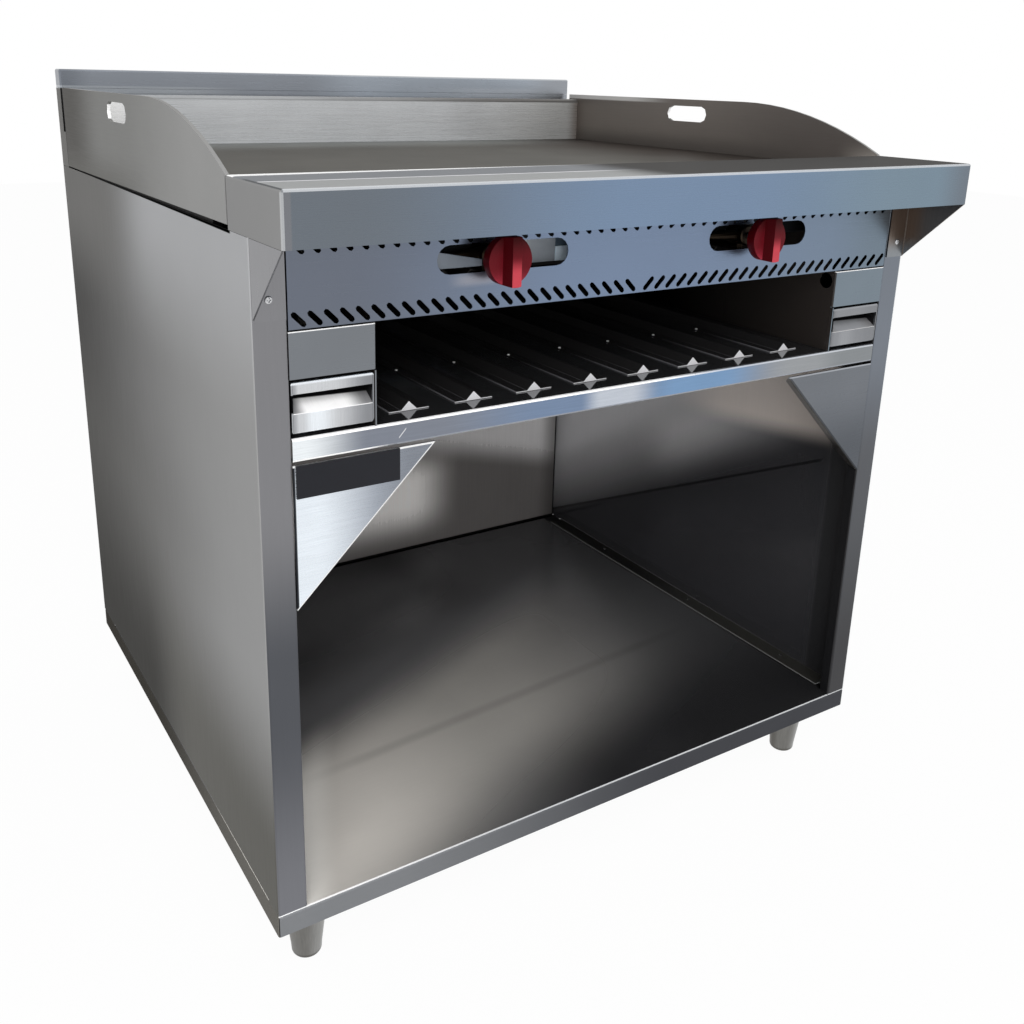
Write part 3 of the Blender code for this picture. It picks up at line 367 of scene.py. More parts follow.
class GRIDDLE_OT_sides(GriddleStep, bpy.types.Operator):
    """Satin finish of the two side panels: painted light towards the front, painted haze and reflections inside the
    bay.
    """

    bl_idname = "griddle.sides"
    bl_label = "Side panels"

    def execute(self, context):
        # Satin 304 sheet, belt-ground upwards: short vertical streaks, a painted sheen that fades to the back, painted
        # shade low at the rear, painted light and highlights on the stile and its foot, and painted shade along its top
        # edge
        outer = [
            wash("#3C3B39", behind(-0.02, 0.84)),
            wash("#B4B5B7", above(0.56, 0.75), behind(0.60, 0.30)),
            wash("#7C7B79", above(0.56, 0.72), behind(0.35, 0.60), strength=0.8),
            wash("#64635E", above(0.32, 0.10), behind(0.62, 0.30)),
            wash("#201F1D", above(0.38, 0.05), behind(0.28, 0.50), metal=0.95, strength=0.9),
            wash("#6A6965", above(0.54, 0.36), behind(0.08, 0.40), strength=0.3),
            wash("#161616", FACES_UP, above(0.740, 0.750), metal=0.2),
        ]
        stile = [
            wash("#858588", FACES_FRONT, rough=0.30, metal=1.0),
            wash("#585A5F", FACES_FRONT, above(0.50, 0.33)),
            wash("#7A7B80", FACES_FRONT, above(0.27, 0.04)),
            wash("#939494", FACES_FRONT, above(0.70, 0.75)),
            wash("#F2F3F4", FACES_FRONT, above(0.0286, 0.0278), metal=0.2),
        ]
        # Painted shade in the stile's corner bend, and painted dark shade in the gap under the left guard
        corner = wash("#2C2C2E", facing((-0.7, -0.7, 0), 0.90, 0.97), above(0.50, 0.30))
        gap = wash("#070707", FACES_LEFT, lean(-0.0045, 0.7594, 0.7602), behind(0.046, 0.050), rough=1.0, metal=0.95)
        dress(["left_side_panel"], "satin_304_sheet_left_side", self.colours.side_sheet, 0.50, UPRIGHT, 0.015,
              [*outer, *stile, corner, gap], cloud=0.012, metallic=0.55, edge=0.45, gloss=0.2)
        # Inside the bay the right side is painted: a haze and a warm sheen of reflection, the reflection of the joint
        # between floor and back wall, a painted highlight along the flange's bend, and painted shade near the front and
        # under the shelf
        reflected_seam = 0.485
        inner = [
            wash("#5A5A5E", TURNS_LEFT, rough=0.12, metal=0.70),
            wash("#D6D6D9", TURNS_LEFT, lean(0.6, 0.44, 0.63), lean(reflected_seam, 0.4067, 0.4187), rough=0.18, metal=0.35),
            wash("#FFF2E8", TURNS_LEFT, lean(0.1, 0.390, 0.428), behind(0.44, 0.28), metal=0.1, strength=0.65),
            wash("#151414", TURNS_LEFT, lean(reflected_seam, 0.4075, 0.4095), lean(reflected_seam, 0.4139, 0.4119), behind(0.085, 0.095),
                 strength=0.7),
            wash("#323234", TURNS_LEFT, behind(0.085, 0.068), rough=0.4, metal=0.3),
            wash("#8C8C8C", TURNS_LEFT, at(X, 0.442, 0.440), above(0.0296, 0.0290), metal=0.1),
            wash("#0C0C0C", TURNS_LEFT, at(Z, SHELF_TOP - 0.004, SHELF_TOP), rough=0.4, metal=0.3),
        ]
        # The right stile: painted shade that deepens downwards and on its inner return, and painted highlights on its
        # foot and its outer corner bend
        stile = [
            wash("#797F88", FACES_FRONT, rough=0.30, metal=1.0),
            wash("#5B5D61", FACES_FRONT, above(0.58, 0.38)),
            wash("#3E3E40", FACES_FRONT, above(0.38, 0.06)),
            wash("#D0D2D4", FACES_FRONT, above(0.0286, 0.0278), metal=0.2),
            wash("#1E1E20", TURNS_LEFT, behind(0.020, 0.018), rough=0.4),
            wash("#ECEEF0", facing((0.7, -0.7, 0), 0.80, 0.92), above(-0.04, 0.16), rough=0.3, metal=0.3),
            wash("#A6A8AA", facing((0.7, -0.7, 0), 0.80, 0.92), above(0.58, 0.68), rough=0.3),
        ]
        dress(["right_side_panel"], "satin_304_sheet_right_side", self.colours.side_sheet, 0.42, UPRIGHT, 0.02,
              [*outer, *inner, *stile], cloud=0.02, metallic=0.8)
        return {"FINISHED"}


class GRIDDLE_OT_base(GriddleStep, bpy.types.Operator):
    """Polished storage floor with its skirt, and the back wall."""

    bl_idname = "griddle.base"
    bl_label = "Base and back"

    def execute(self, context):
        # 2B mill-finish sheet: a cloudy mirror with painted reflections, a painted band of light where the light from
        # the front falls, painted shadow beside the right flange, a dark line along the rear corner, and painted
        # highlights and shade along the skirt's bends and ends
        lit = FACES_UP, slant(0.344, 0.000, 0.195), slant(0.48, 0.455, 0.325)
        rim = facing((0, -0.7, 0.7), 0.80, 0.90)
        dress(["base_pan"], "mill_finish_304_floor", linear("#7A7A7C"), 0.20, LEVEL, 0.012, [
            wash("#454547", FACES_UP, behind(0.34, 0.04), at(X, -0.16, 0.04)),
            wash("#3E3E40", FACES_UP, slant(0.40, 0.46, 0.60), at(X, 0.16, 0.04), strength=0.8),
            wash("#A8A5A0", *lit, at(X, 0.44, -0.08), rough=0.35, metal=0.10),
            wash("#E2DDD6", *lit, at(X, -0.06, -0.36), rough=0.35, metal=0.10),
            wash("#FFFCF6", *lit, at((-1, 0.42, 0), 0.42 * FRONT + 0.376, 0.42 * FRONT + 0.412), metal=0.05,
                 strength=0.8),
            wash("#555351", FACES_UP, slant(0.087, 0.218, 0.231), slant(0.087, 0.246, 0.233), at(X, 0.42, 0.25),
                 at(X, -0.36, -0.22), strength=0.22),
            wash("#0E0E0E", FACES_UP, at(X, 0.4150, 0.4250), rough=0.4, strength=0.8),
            wash("#0E0E0E", FACES_UP, behind(0.7560, 0.7580), rough=0.4),
            wash("#D8DADC", rim, metal=0.1),
            wash("#FFFFFF", rim, at(X, -0.10, -0.40), metal=0.0),
            wash("#45464A", FACES_FRONT, rough=0.30),
            wash("#7E8083", FACES_FRONT, at(X, 0.12, -0.36), rough=0.30),
            wash("#8A8C8E", LOWER_BEND, at(X, -0.05, 0.05), rough=0.3),
            wash("#6E6C67", FACES_LEFT, rough=0.5, metal=0.4),
            wash("#45433F", FACES_LEFT, behind(0.05, 0.50), metal=0.0),
            wash("#121212", FACES_FRONT, at(X, -0.4480, -0.4488), metal=0.2),
        ], metallic=0.7, edge=0.6, gloss=0.0, bump=0.003, spread=0.0)
        # The same sheet behind the bay: a painted haze of reflection over its upper half, painted light where the floor
        # throws light on it, painted shade towards its right end and under the shelf, and dark lines along its corners
        dress(["back_panel"], "mill_finish_304_back_wall", linear("#918D8B"), 0.18, (1.6, 1.6, 80), 0.04, [
            wash("#E4E2E2", at((0.25, 0, 1), up(0.235), up(0.300)), rough=0.3, metal=0.15),
            wash("#FFFCF9", at(X, 0.225, 0.110), above(0.235, 0.160), above(0.03, 0.12), rough=0.3, metal=0.0),
            wash("#4C4947", at(X, 0.400, 0.445), strength=0.7),
            wash("#100F0F", at(X, 0.4445, 0.4460), rough=0.4),
            wash("#100F0F", above(0.0315, 0.0300), rough=0.4),
            wash("#2A2827", at(Z, SHELF_TOP - 0.004, SHELF_TOP), rough=0.35, metal=1.0),
        ], metallic=0.5, gloss=0.2)
        # Satin sheet at the rear: even grey with upright streaks
        dress(["rear_cover"], "satin_304_rear_cover", self.colours.side_sheet, 0.40, UPRIGHT, 0.03)
        # Grey sealant pressed into the floor's rear corners: matt, with finger marks of about 3 mm
        sealant = finish("pressed_grey_sealant", linear("#2C2C2D"), 0.60, (3, 3, 3), 0.10, metallic=0.0, gloss=0.2)
        bead, near, far, soft = self.sizes.bead, back(0.7400), back(0.7600), 0.0008
        corner_x, corner_z = 0.4481, FLOOR_TOP + 0.0006
        profile = [(0, near), (bead * 0.7, near), (bead, near + soft), (bead, far - soft), (bead * 0.7, far), (0, far)]
        for side, sign in SIDES.items():
            grid = turned(profile, (sign * corner_x, 0, corner_z), 1, 16)
            make_piece(f"{side}_corner_bead", [grid], "cabinet", sealant)
        return {"FINISHED"}


class GRIDDLE_OT_broiler(GriddleStep, bpy.types.Operator):
    """Broiler shelf with its bright rail, the rest bars and the columns."""

    bl_idname = "griddle.broiler"
    bl_label = "Broiler shelf"

    def execute(self, context):
        # Mirror-polished 304 shelf, dark in its cavity, with a brushed rail along its front that has one bright
        # scratch, painted blue reflections, painted highlights at its left end and in its middle, and painted
        # highlights along its bends
        across = 0.737, 0, -0.676
        nick = np.dot(across, (-0.3014, 0, up(0.5525)))
        rail = [
            wash("#838893", FACES_FRONT, rough=0.26, metal=1.0),
            wash("#7B8DA8", FACES_FRONT, at(X, -0.26, -0.12), at(X, 0.30, 0.16)),
            wash("#7C9CC0", FACES_FRONT, at(X, 0.00, 0.07), at(X, 0.24, 0.14)),
            wash("#C4CAD4", FACES_FRONT, at(X, -0.075, -0.045), at(X, 0.045, -0.005)),
            wash("#F2F7FA", FACES_FRONT, at(X, -0.335, -0.405)),
            wash("#9C9FA2", FACES_FRONT, at(X, 0.14, 0.27)),
            wash("#8A8E91", FACES_FRONT, at(X, 0.30, 0.36)),
            wash("#FFFFFF", FACES_FRONT, at(across, nick - 0.0008, nick - 0.0003),
                 at(across, nick + 0.0008, nick + 0.0003), at(X, -0.3020, -0.3010), at(X, -0.2930, -0.2942),
                 strength=0.6),
            wash("#DADEE6", UPPER_BEND, rough=0.25),
            wash("#FFFFFF", facing((0, -0.7, 0.7), 0.80, 0.92), at(X, 0.16, 0.02), rough=0.3, metal=0.2),
            wash("#9CA0A8", LOWER_BEND, rough=0.25),
            wash("#FFFFFF", LOWER_BEND, at(X, -0.30, -0.34), metal=0.3),
        ]
        dress(["broiler_shelf"], "mirror_polished_304_shelf", linear("#66676A"), 0.07, LEVEL, 0.04, rail, metallic=0.85,
              gloss=0.1)
        # Folded 304 strip, dark in the cavity, with a painted highlight along each wing's edge, painted shade at the
        # foot of the ridge, and a front end painted bright where it catches the light
        for i in range(BAR_COUNT):
            name = f"rest_bar_{i + 1}"
            low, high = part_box(name)
            middle = (low.x + high.x) / 2
            dress([name], f"folded_304_{name}", linear("#4A494A"), 0.16, (1.2, 60, 1.2), 0.05, [
                wash("#808084", at(X, low.x + 0.0018, low.x + 0.0012), behind(0.17, 0.03), metal=0.1),
                wash("#4C4C4E", at(X, middle - 0.0087, middle - 0.0092), at(X, middle - 0.0102, middle - 0.0098),
                     behind(0.15, 0.03), metal=0.1),
                wash("#E2E2E4", FACES_FRONT, rough=0.35, metal=0.25),
            ], metallic=0.75, gloss=0.1)
        # Brushed 304 plates beside the cavity: level streaks, a painted highlight on the top edge, painted shade on
        # their sides and on the side in the cavity
        column = [
            wash("#3A3836", behind(0.003, 0.006), rough=0.20),
            wash("#2E2A28", TURNS_LEFT, behind(0.36, 0.02), metal=0.0),
            wash("#F4F4F4", behind(0.004, 0.003), above(0.6722, 0.6727), metal=0.5),
        ]
        for side, code in (("left", "#7D8186"), ("right", "#7B8791")):
            dress([f"{side}_column"], f"brushed_304_{side}_column", linear(code), 0.30, LEVEL, 0.012, column,
                  bump=0.015)
        return {"FINISHED"}


class GRIDDLE_OT_front(GriddleStep, bpy.types.Operator):
    """Control panel, ledge, brackets and gussets."""

    bl_idname = "griddle.front"
    bl_label = "Front sheets"

    def execute(self, context):
        # Brushed 304 panel and ledge, facing the sky: grey at the left end, with a painted blue reflection of the sky
        # towards the middle; painted reflections and lines of light on the ledge's top, darker to its right; a painted
        # light spot on the panel under the left knob; painted shade behind the panel's face; painted highlights on the
        # bends
        dress(["control_panel"], "brushed_304_control_panel", self.colours.panel_sheet, 0.30, (60, 1.2, 1.2), 0.008, [
            wash("#7A8AA3", at(X, -0.38, -0.06)),
            wash("#79889B", at(X, 0.05, 0.33)),
            wash("#74828F", at(X, 0.30, 0.40)),
            wash("#A2A3AC", at(X, -0.250, -0.222), at(X, -0.176, -0.200), above(0.698, 0.706),
                 above(0.718, 0.708), strength=0.7),
            wash("#1E1E20", behind(0.0022, 0.003), rough=0.4),
        ], cloud=0.015, bump=0.004)
        dress(["ledge"], "brushed_304_ledge", self.colours.apron_sheet, 0.28, (60, 1.2, 1.2), 0.008, [
            wash("#7C90AA", at(X, -0.40, -0.08)),
            wash("#8092A0", at(X, 0.05, 0.33)),
            wash("#79828C", at(X, 0.38, 0.45)),
            wash("#7C7E83", at(X, -0.4405, -0.4425), rough=0.24),
            wash("#8E9196", FACES_UP, rough=0.30, metal=0.6),
            wash("#B4B6B6", FACES_UP, behind(-0.020, -0.028), metal=0.6),
            wash("#F4F4F6", FACES_UP, behind(-0.0235, -0.0215), behind(-0.0165, -0.0185), metal=0.2),
            wash("#545352", FACES_UP, at(X, -0.09, -0.01), metal=0.12),
            wash("#FFFFFF", FACES_UP, at(X, 0.02, -0.22), slant(0.0345, 0.04918, 0.05318), metal=0.0),
            wash("#686A6C", FACES_UP, at(X, -0.4455, -0.4470), behind(0.020, 0.000), metal=0.3),
            wash("#A0A0A0", FACES_LEFT, rough=0.30),
            wash("#DDE0E4", UPPER_BEND, rough=0.25),
            wash("#C4C6C8", facing((-0.7, -0.7, 0), 0.85, 0.95), rough=0.25),
        ], edge=0.5, gloss=0.0, cloud=0.015, bump=0.004)
        # The left gusset is painted bright where it catches the sky, with painted shade to the right, painted shade in
        # the gap at its left edge and painted highlights along its hem and top; the right one is plain brushed sheet,
        # painted darker low down and on its hem, with a painted highlight along its top
        outward = 0.7023, 0, -0.7117
        hem = np.dot(outward, (-0.2577, 0, up(0.5419)))
        dress(["left_gusset"], "bright_brushed_304_left_gusset", linear("#EAF1F8"), 0.28, (40, 0.9, 0.9), 0.06, [
            wash("#A9AFB9", at(X, -0.395, -0.320)),
            wash("#878C95", at(X, -0.345, -0.285)),
            wash("#303237", at(X, -0.4132, -0.4142), rough=0.4),
            wash("#FFFFFF", at(outward, hem - 0.0028, hem - 0.0020)),
            wash("#FFFFFF", above(0.5396, 0.5402)),
        ], bump=0.12)
        dress(["right_gusset"], "brushed_304_right_gusset", linear("#74787E"), 0.30, (40, 1.2, 1.2), 0.03, [
            wash("#5C6066", above(0.52, 0.42)),
            wash("#7C7A78", facing((-0.7, 0, -0.7), 0.6, 0.8), metal=0.2),
            wash("#302E2C", facing((-0.7, 0, -0.7), 0.6, 0.8), above(0.460, 0.425), metal=0.2),
            wash("#232221", facing((-0.5, -0.7, -0.5), 0.88, 0.95), rough=0.5),
            wash("#A8ACB2", above(0.5396, 0.5402)),
        ])
        # Brushed 304 brackets: upright streaks; the right one is brownish from a painted reflection of what it faces,
        # painted lighter on its lower part and painted dark on its fold
        dress(["left_ledge_bracket"], "brushed_304_left_bracket", linear("#868689"), 0.30, (1.6, 1.6, 40), 0.03)
        dress(["right_ledge_bracket"], "brushed_304_right_bracket", linear("#82776F"), 0.34, (1.6, 1.6, 40), 0.06, [
            wash("#8C9094", above(0.715, 0.690)),
            wash("#5E5650", facing((-0.7, -0.7, 0), 0.80, 0.92), rough=0.4),
        ])
        return {"FINISHED"}


class GRIDDLE_OT_griddle_top(GriddleStep, bpy.types.Operator):
    """Cooking plate, back splash, guards and flue riser."""

    bl_idname = "griddle.griddle_top"
    bl_label = "Griddle top"

    def execute(self, context):
        # Ground steel plate: long streaks from side to side, brownish and dull
        dress(["griddle_plate"], "ground_steel_plate", self.colours.plate_steel, 0.50, (180, 3.0, 3.0), 0.10, [
            wash("#57514D", at(X, 0.12, 0.40)),
            wash("#76726E", behind(0.26, 0.16), at(X, 0.06, 0.18)),
            wash("#A0A2A0", behind(0.56, 0.73), at(X, 0.46, 0.15)),
        ], cloud=0.06, bump=0.15, edge=0.5)
        # Brushed 304 splash: pale, with long level streaks, a painted bright reflection at its left end, darker to the
        # right, and a darker hem
        dress(["back_splash"], "brushed_304_splash", self.colours.splash_sheet, 0.28, (90, 2.0, 2.0), 0.05, [
            wash("#FFFFFF", at(X, -0.34, -0.38)),
            wash("#BEBFBE", at(X, 0.14, 0.42)),
            wash("#88817C", at(X, 0.42, 0.447)),
            wash("#ACAEB0", above(0.8595, 0.8612)),
            wash("#686664", above(0.8595, 0.8612), at(X, -0.25, 0.35)),
        ], cloud=0.05, metallic=0.45, gloss=0.3)
        # Brushed 304 guards: streaks from front to back, painted darker to the back; inside, a painted brownish
        # reflection where they face the plate, painted light low at the front and painted highlights along their edges
        tones = [
            wash("#8A8A88", behind(0.12, 0.45)),
            wash("#55534F", behind(0.52, 0.72)),
            wash("#6E6D69", above(0.81, 0.76), behind(0.25, 0.52), strength=0.8),
        ]
        for side, sign in SIDES.items():
            inward = facing(X, -0.3 * sign, -0.8 * sign)
            inner = [
                wash("#827B75", inward, rough=0.34, metal=0.7),
                wash("#6C6662", inward, behind(0.45, 0.15)),
                wash("#635E5A", inward, above(0.825, 0.798), behind(0.12, 0.25), strength=0.8),
                wash("#C0B9B2", inward, behind(0.13, 0.05), above(0.835, 0.800)),
                wash("#D0CECB", inward, above(0.8665, 0.8690), behind(0.46, 0.60), metal=0.3),
                wash("#FFFFFF", facing((0, -1, 0), 0.4, 0.7), behind(0.470, 0.474), behind(0.500, 0.496),
                     above(0.826, 0.830), metal=0.0),
                wash("#D0CECB", facing(Z, 0.7, 0.9), behind(0.50, 0.62)),
            ]
            dress([f"{side}_guard"], f"brushed_304_{side}_guard", linear("#A2A2A1"), 0.45, TO_BACK, 0.03,
                  [*tones, *inner], metallic=0.7, edge=0.5, gloss=0.3)
        # Brushed 304 riser: cool grey, painted paler to the right, with painted highlights on its lip and its top edge,
        # and painted shade low on its left end
        dress(["flue_cap", "flue_duct"], "brushed_304_flue_cap", linear("#92979F"), 0.30, LEVEL, 0.03, [
            wash("#7F848C", at(X, -0.40, -0.445)),
            wash("#A6AEB8", at(X, -0.10, 0.05)),
            wash("#B4BBC4", at(X, 0.10, 0.30), above(0.8860, 0.8790)),
            wash("#989CA2", at(X, 0.33, 0.43)),
            wash("#A4A9AF", above(0.8782, 0.8772), at(X, -0.15, -0.28)),
            wash("#B6BABE", above(0.8975, 0.8990), at(X, -0.10, 0.05)),
            wash("#4E4C48", FACES_LEFT, above(0.8745, 0.8730), rough=0.5, metal=0.4),
            wash("#0C0C0D", FACES_FRONT, above(0.8745, 0.8735), at(X, -0.436, -0.440), rough=0.5, metal=0.4),
        ])
        return {"FINISHED"}


def strip(ends, depth, bottom, tops, edge):
    """A flat strip: a rectangle with cut corners, carried along x as its top slopes, closed at both ends."""
    (y0, y1), sections = depth, []
    for x, top in zip(ends, tops):
        y = np.array([y0 + edge, y1 - edge, y1, y1, y1 - edge, y0 + edge, y0, y0])
        z = np.array([bottom, bottom, bottom + edge, top - edge, top, top, top - edge, bottom + edge])
        flat = np.stack([np.full(8, x), np.full(8, (y0 + y1) / 2), np.clip(z, bottom + edge, top - edge)], -1)
        outline = np.stack([np.full(8, x), y, z], -1)
        sections += [outline, flat] if sections else [flat, outline]
    return np.stack(sections)


class GRIDDLE_OT_gas_train(GriddleStep, bpy.types.Operator):
    """Manifold with its flat front strips, valves, burners, trough and the other hidden pieces."""

    bl_idname = "griddle.gas_train"
    bl_label = "Gas train"

    def execute(self, context):
        # Hot-dip galvanised steel: dull grey with patches of spangle about 8 mm across
        dress(["supply_pipe", *both("drawer_guide"), *both("valve_stem"), *[f"{foot}_foot_socket" for foot in FEET]],
              "hot_dip_galvanised_steel", self.colours.zinc, 0.42, SPANGLE, 0.10, cloud=0.08, cloud_mm=20)
        # Steel beside the flames: zinc burnt dull and nearly black
        dress(["front_burner_support", "rear_burner_support", *both("griddle_rest")], "heat_darkened_steel",
              linear("#1B1A1A"), 0.60, SPANGLE, 0.10, cloud=0.08, cloud_mm=20, metallic=0.6, gloss=0.1)
        # Square tube in the panel's shade: nearly black, and zinc only where light falls through the cut-out
        dress(["gas_manifold"], "galvanised_square_tube", linear("#1D1F21"), 0.50, SPANGLE, 0.10, [
            wash("#5C6C7A", at(X, -0.0962, -0.0955), at(X, -0.04, -0.05), above(0.7405, 0.7395)),
        ], cloud=0.08, cloud_mm=20, metallic=0.3, gloss=0.1)
        # Zinc sheet strips along the tube, matt, behind the left cut-out, painted paler where light falls through the
        # cut-out, palest on the end strip
        pale = finish("zinc_strip_painted_light", linear("#6C737C"), 0.45, SPANGLE, 0.04, [
            wash("#B4BBC2", at(X, -0.190, -0.180)),
            wash("#8E949B", at(X, -0.145, -0.125)),
            wash("#DCECF8", at(X, -0.0968, -0.0962)),
        ], metallic=0.1, cloud_mm=20)
        sheet, edge = 0.0020, 0.0004
        for name, x, y, low_z, tops in (("near", (-0.2615, -0.2045), 0.0046, 0.7192, (0.7375, 0.7262)),
                                        ("far", (-0.1790, -0.0965), 0.0300, 0.7130, (0.7400, 0.7400)),
                                        ("end", (-0.0958, -0.0600), 0.0300, 0.7130, (0.7288, 0.7292))):
            grid = strip(x, (back(y), back(y + sheet)), up(low_z), [up(top) for top in tops], edge)
            make_piece(f"manifold_strip_{name}", [grid], "cabinet", pale)
        # Sand-cast iron: near black, rough, with a grain of about 1 mm
        dress(both("burner"), "sand_cast_iron", self.colours.iron, 0.72, (1.5, 1.5, 1.5), 0.25, metallic=0.6, bump=0.4)
        # Forged brass, tarnished: brown, with a faint mottle of about 2 mm
        dress(both("gas_valve"), "dull_forged_brass", self.colours.brass, 0.45, (2, 2, 2), 0.10)
        # Mill-finish trough and trays: soft grey, streaked along their length
        dress(["grease_trough"], "mill_finish_304_trough", self.colours.plate_steel, 0.34, LEVEL, 0.05)
        dress(both("drawer_tray"), "mill_finish_304_tray", self.colours.side_sheet, 0.30, TO_BACK, 0.05)
        return {"FINISHED"}


class GRIDDLE_OT_nameplate(GriddleStep, bpy.types.Operator):
    """Bare black plate on the left gusset."""

    bl_idname = "griddle.nameplate"
    bl_label = "Bare plate"

    def execute(self, context):
        # Anodised aluminium plate, black: satin, with a faint brushed line
        dress(["nameplate"], "black_anodised_plate", self.colours.plate_black, 0.40, (40, 1.0, 1.0), 0.12, metallic=0.0,
              cloud=0.10, gloss=0.25)
        return {"FINISHED"}


def knob_surface(low, high, size, columns=49):
    """Knob as loops square to x: at each x across the disc, a loop goes round the back, the rim and the front.

    The half-height at x is the circle's, the front lies at the skirt's face, and a bar rises from it between
    two slopes, so the front's depth is a trapezoid of x. Both ends shrink to a line on the rim.
    """
    middle, radius = (low + high) / 2, (high.x - low.x) / 2
    crest, foot, face = size.knob_grip / 2, size.knob_foot / 2, high.y - size.knob_skirt
    turn = np.sin(np.linspace(-math.pi / 2, math.pi / 2, columns)) * radius
    x = np.unique(np.concatenate([turn, [-foot, -crest, crest, foot]]))
    half = np.sqrt(np.maximum(radius ** 2 - x ** 2, 0))
    front = np.interp(np.abs(x), [crest, foot], [face - size.knob_reach, face])
    soft = np.minimum(size.knob_edge, half * 0.5)
    rear = np.full_like(x, high.y)
    y = np.stack([rear, rear - soft, front + soft, front + 0.3 * soft, front, front, front, front + 0.3 * soft,
                  front + soft, rear - soft, rear, rear], 1)
    z = np.stack([-half + soft, -half, -half, -half + 0.3 * soft, -half + soft, 0 * x, half - soft,
                  half - 0.3 * soft, half, half, half - soft, 0 * x], 1)
    return np.stack([np.repeat(x[:, None], y.shape[1], 1) + middle.x, y, z + middle.z], -1)


class GRIDDLE_OT_knobs(GriddleStep, bpy.types.Operator):
    """Red valve knobs: a round skirt with a bar grip across it."""

    bl_idname = "griddle.knobs"
    bl_label = "Knobs"

    def execute(self, context):
        # Moulded phenolic, red: satin with a faint orange-peel of about 1 mm; painted shade on its upper part and its
        # flanks, painted light low down, and a painted highlight along the bar's crest
        grip, edge = self.sizes.knob_grip / 2, 0.0006
        for side in SIDES:
            low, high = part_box(f"{side}_knob")
            across, middle = (low.x + high.x) / 2, (low.z + high.z) / 2
            crest = (at(X, across - grip - edge, across - grip), at(X, across + grip + edge, across + grip))
            red = finish(f"moulded_red_phenolic_{side}", self.colours.knob_red, 0.42, (1.2, 1.2, 1.2), 0.05, [
                wash("#8A2634", at(Z, middle - 0.006, middle - 0.026)),
                wash("#3A0609", at(Z, middle + 0.002, middle + 0.026)),
                wash("#B63E49", *crest, at(Z, middle + 0.006, middle - 0.012)),
                wash("#420006", facing(X, -0.25, -0.60)),
                wash("#5C0F18", facing(X, 0.25, 0.60)),
            ], metallic=0.0, bump=0.05, gloss=0.12)
            make_piece(f"{side}_bar_knob", [knob_surface(low, high, self.sizes)], f"{side}_valve", red,
                       [f"{side}_knob"], sharp=28, bevel=edge)
        return {"FINISHED"}


def drawer_profile(depth, height, size, steps=6):
    """Outline of a drawer front, square to x: rounded bottom roll, sloping scoop floor, scoop and upper lip.

    Returns the outline with the scoop, and the same points with the scoop drawn flat into the front face.
    """
    low, high, deep, rise = size.scoop_low, size.scoop_high, size.scoop_depth, size.scoop_rise
    sheet, roll, lip, bend = 0.0024, 0.0040, 0.0020, 0.0030
    slope = math.degrees(math.atan2(rise, deep))
    scoop = np.concatenate([
        arc((lip, low - lip), lip, 180, 90 + slope, steps),
        arc((deep - bend, low + rise + 0.0016), bend, -70, 0, steps),
        [[deep, height - sheet], [sheet, height - sheet]],
        arc((sheet / 2, high + sheet / 2), sheet / 2, 0, -180, steps),
    ])
    flat = np.stack([np.zeros(len(scoop)), np.linspace(low - lip, high + sheet / 2, len(scoop))], -1)
    start = np.concatenate([[[depth, 0]], arc((roll, roll), roll, 270, 180, steps)])
    end = np.concatenate([arc((lip, height - lip), lip, 180, 90, steps), [[depth, height]]])
    return np.concatenate([start, scoop, end]), np.concatenate([start, flat, end])


def drawer_surface(low, high, size):
    """Drawer front: its outline carried along x, flat over each cheek and scooped between them, closed at both ends."""
    scooped, flat = drawer_profile(high.y - low.y, high.z - low.z, size)
    centre = flat.mean(0)
    round_in = 0.0016
    inset = centre + (flat - centre) * (1 - 2 * round_in / np.ptp(flat, axis=0))
    middle = np.repeat(centre[None], len(flat), 0)
    cheek = size.scoop_cheek
    between = centre + (inset - centre) * 0.4 + (flat - centre) * 0.6
    half = [(low.x, middle), (low.x, inset), (low.x + 0.3 * round_in, between),
            (low.x + round_in, flat), (low.x + cheek, flat), (low.x + cheek, scooped)]
    sections = half + [(low.x + high.x - x, outline) for x, outline in reversed(half)]
    grid = np.zeros((len(sections), len(flat), 3))
    grid[..., 0] = np.array([x for x, _ in sections])[:, None]
    grid[..., 1:] = np.stack([outline for _, outline in sections]) + np.array([low.y, low.z])
    return grid


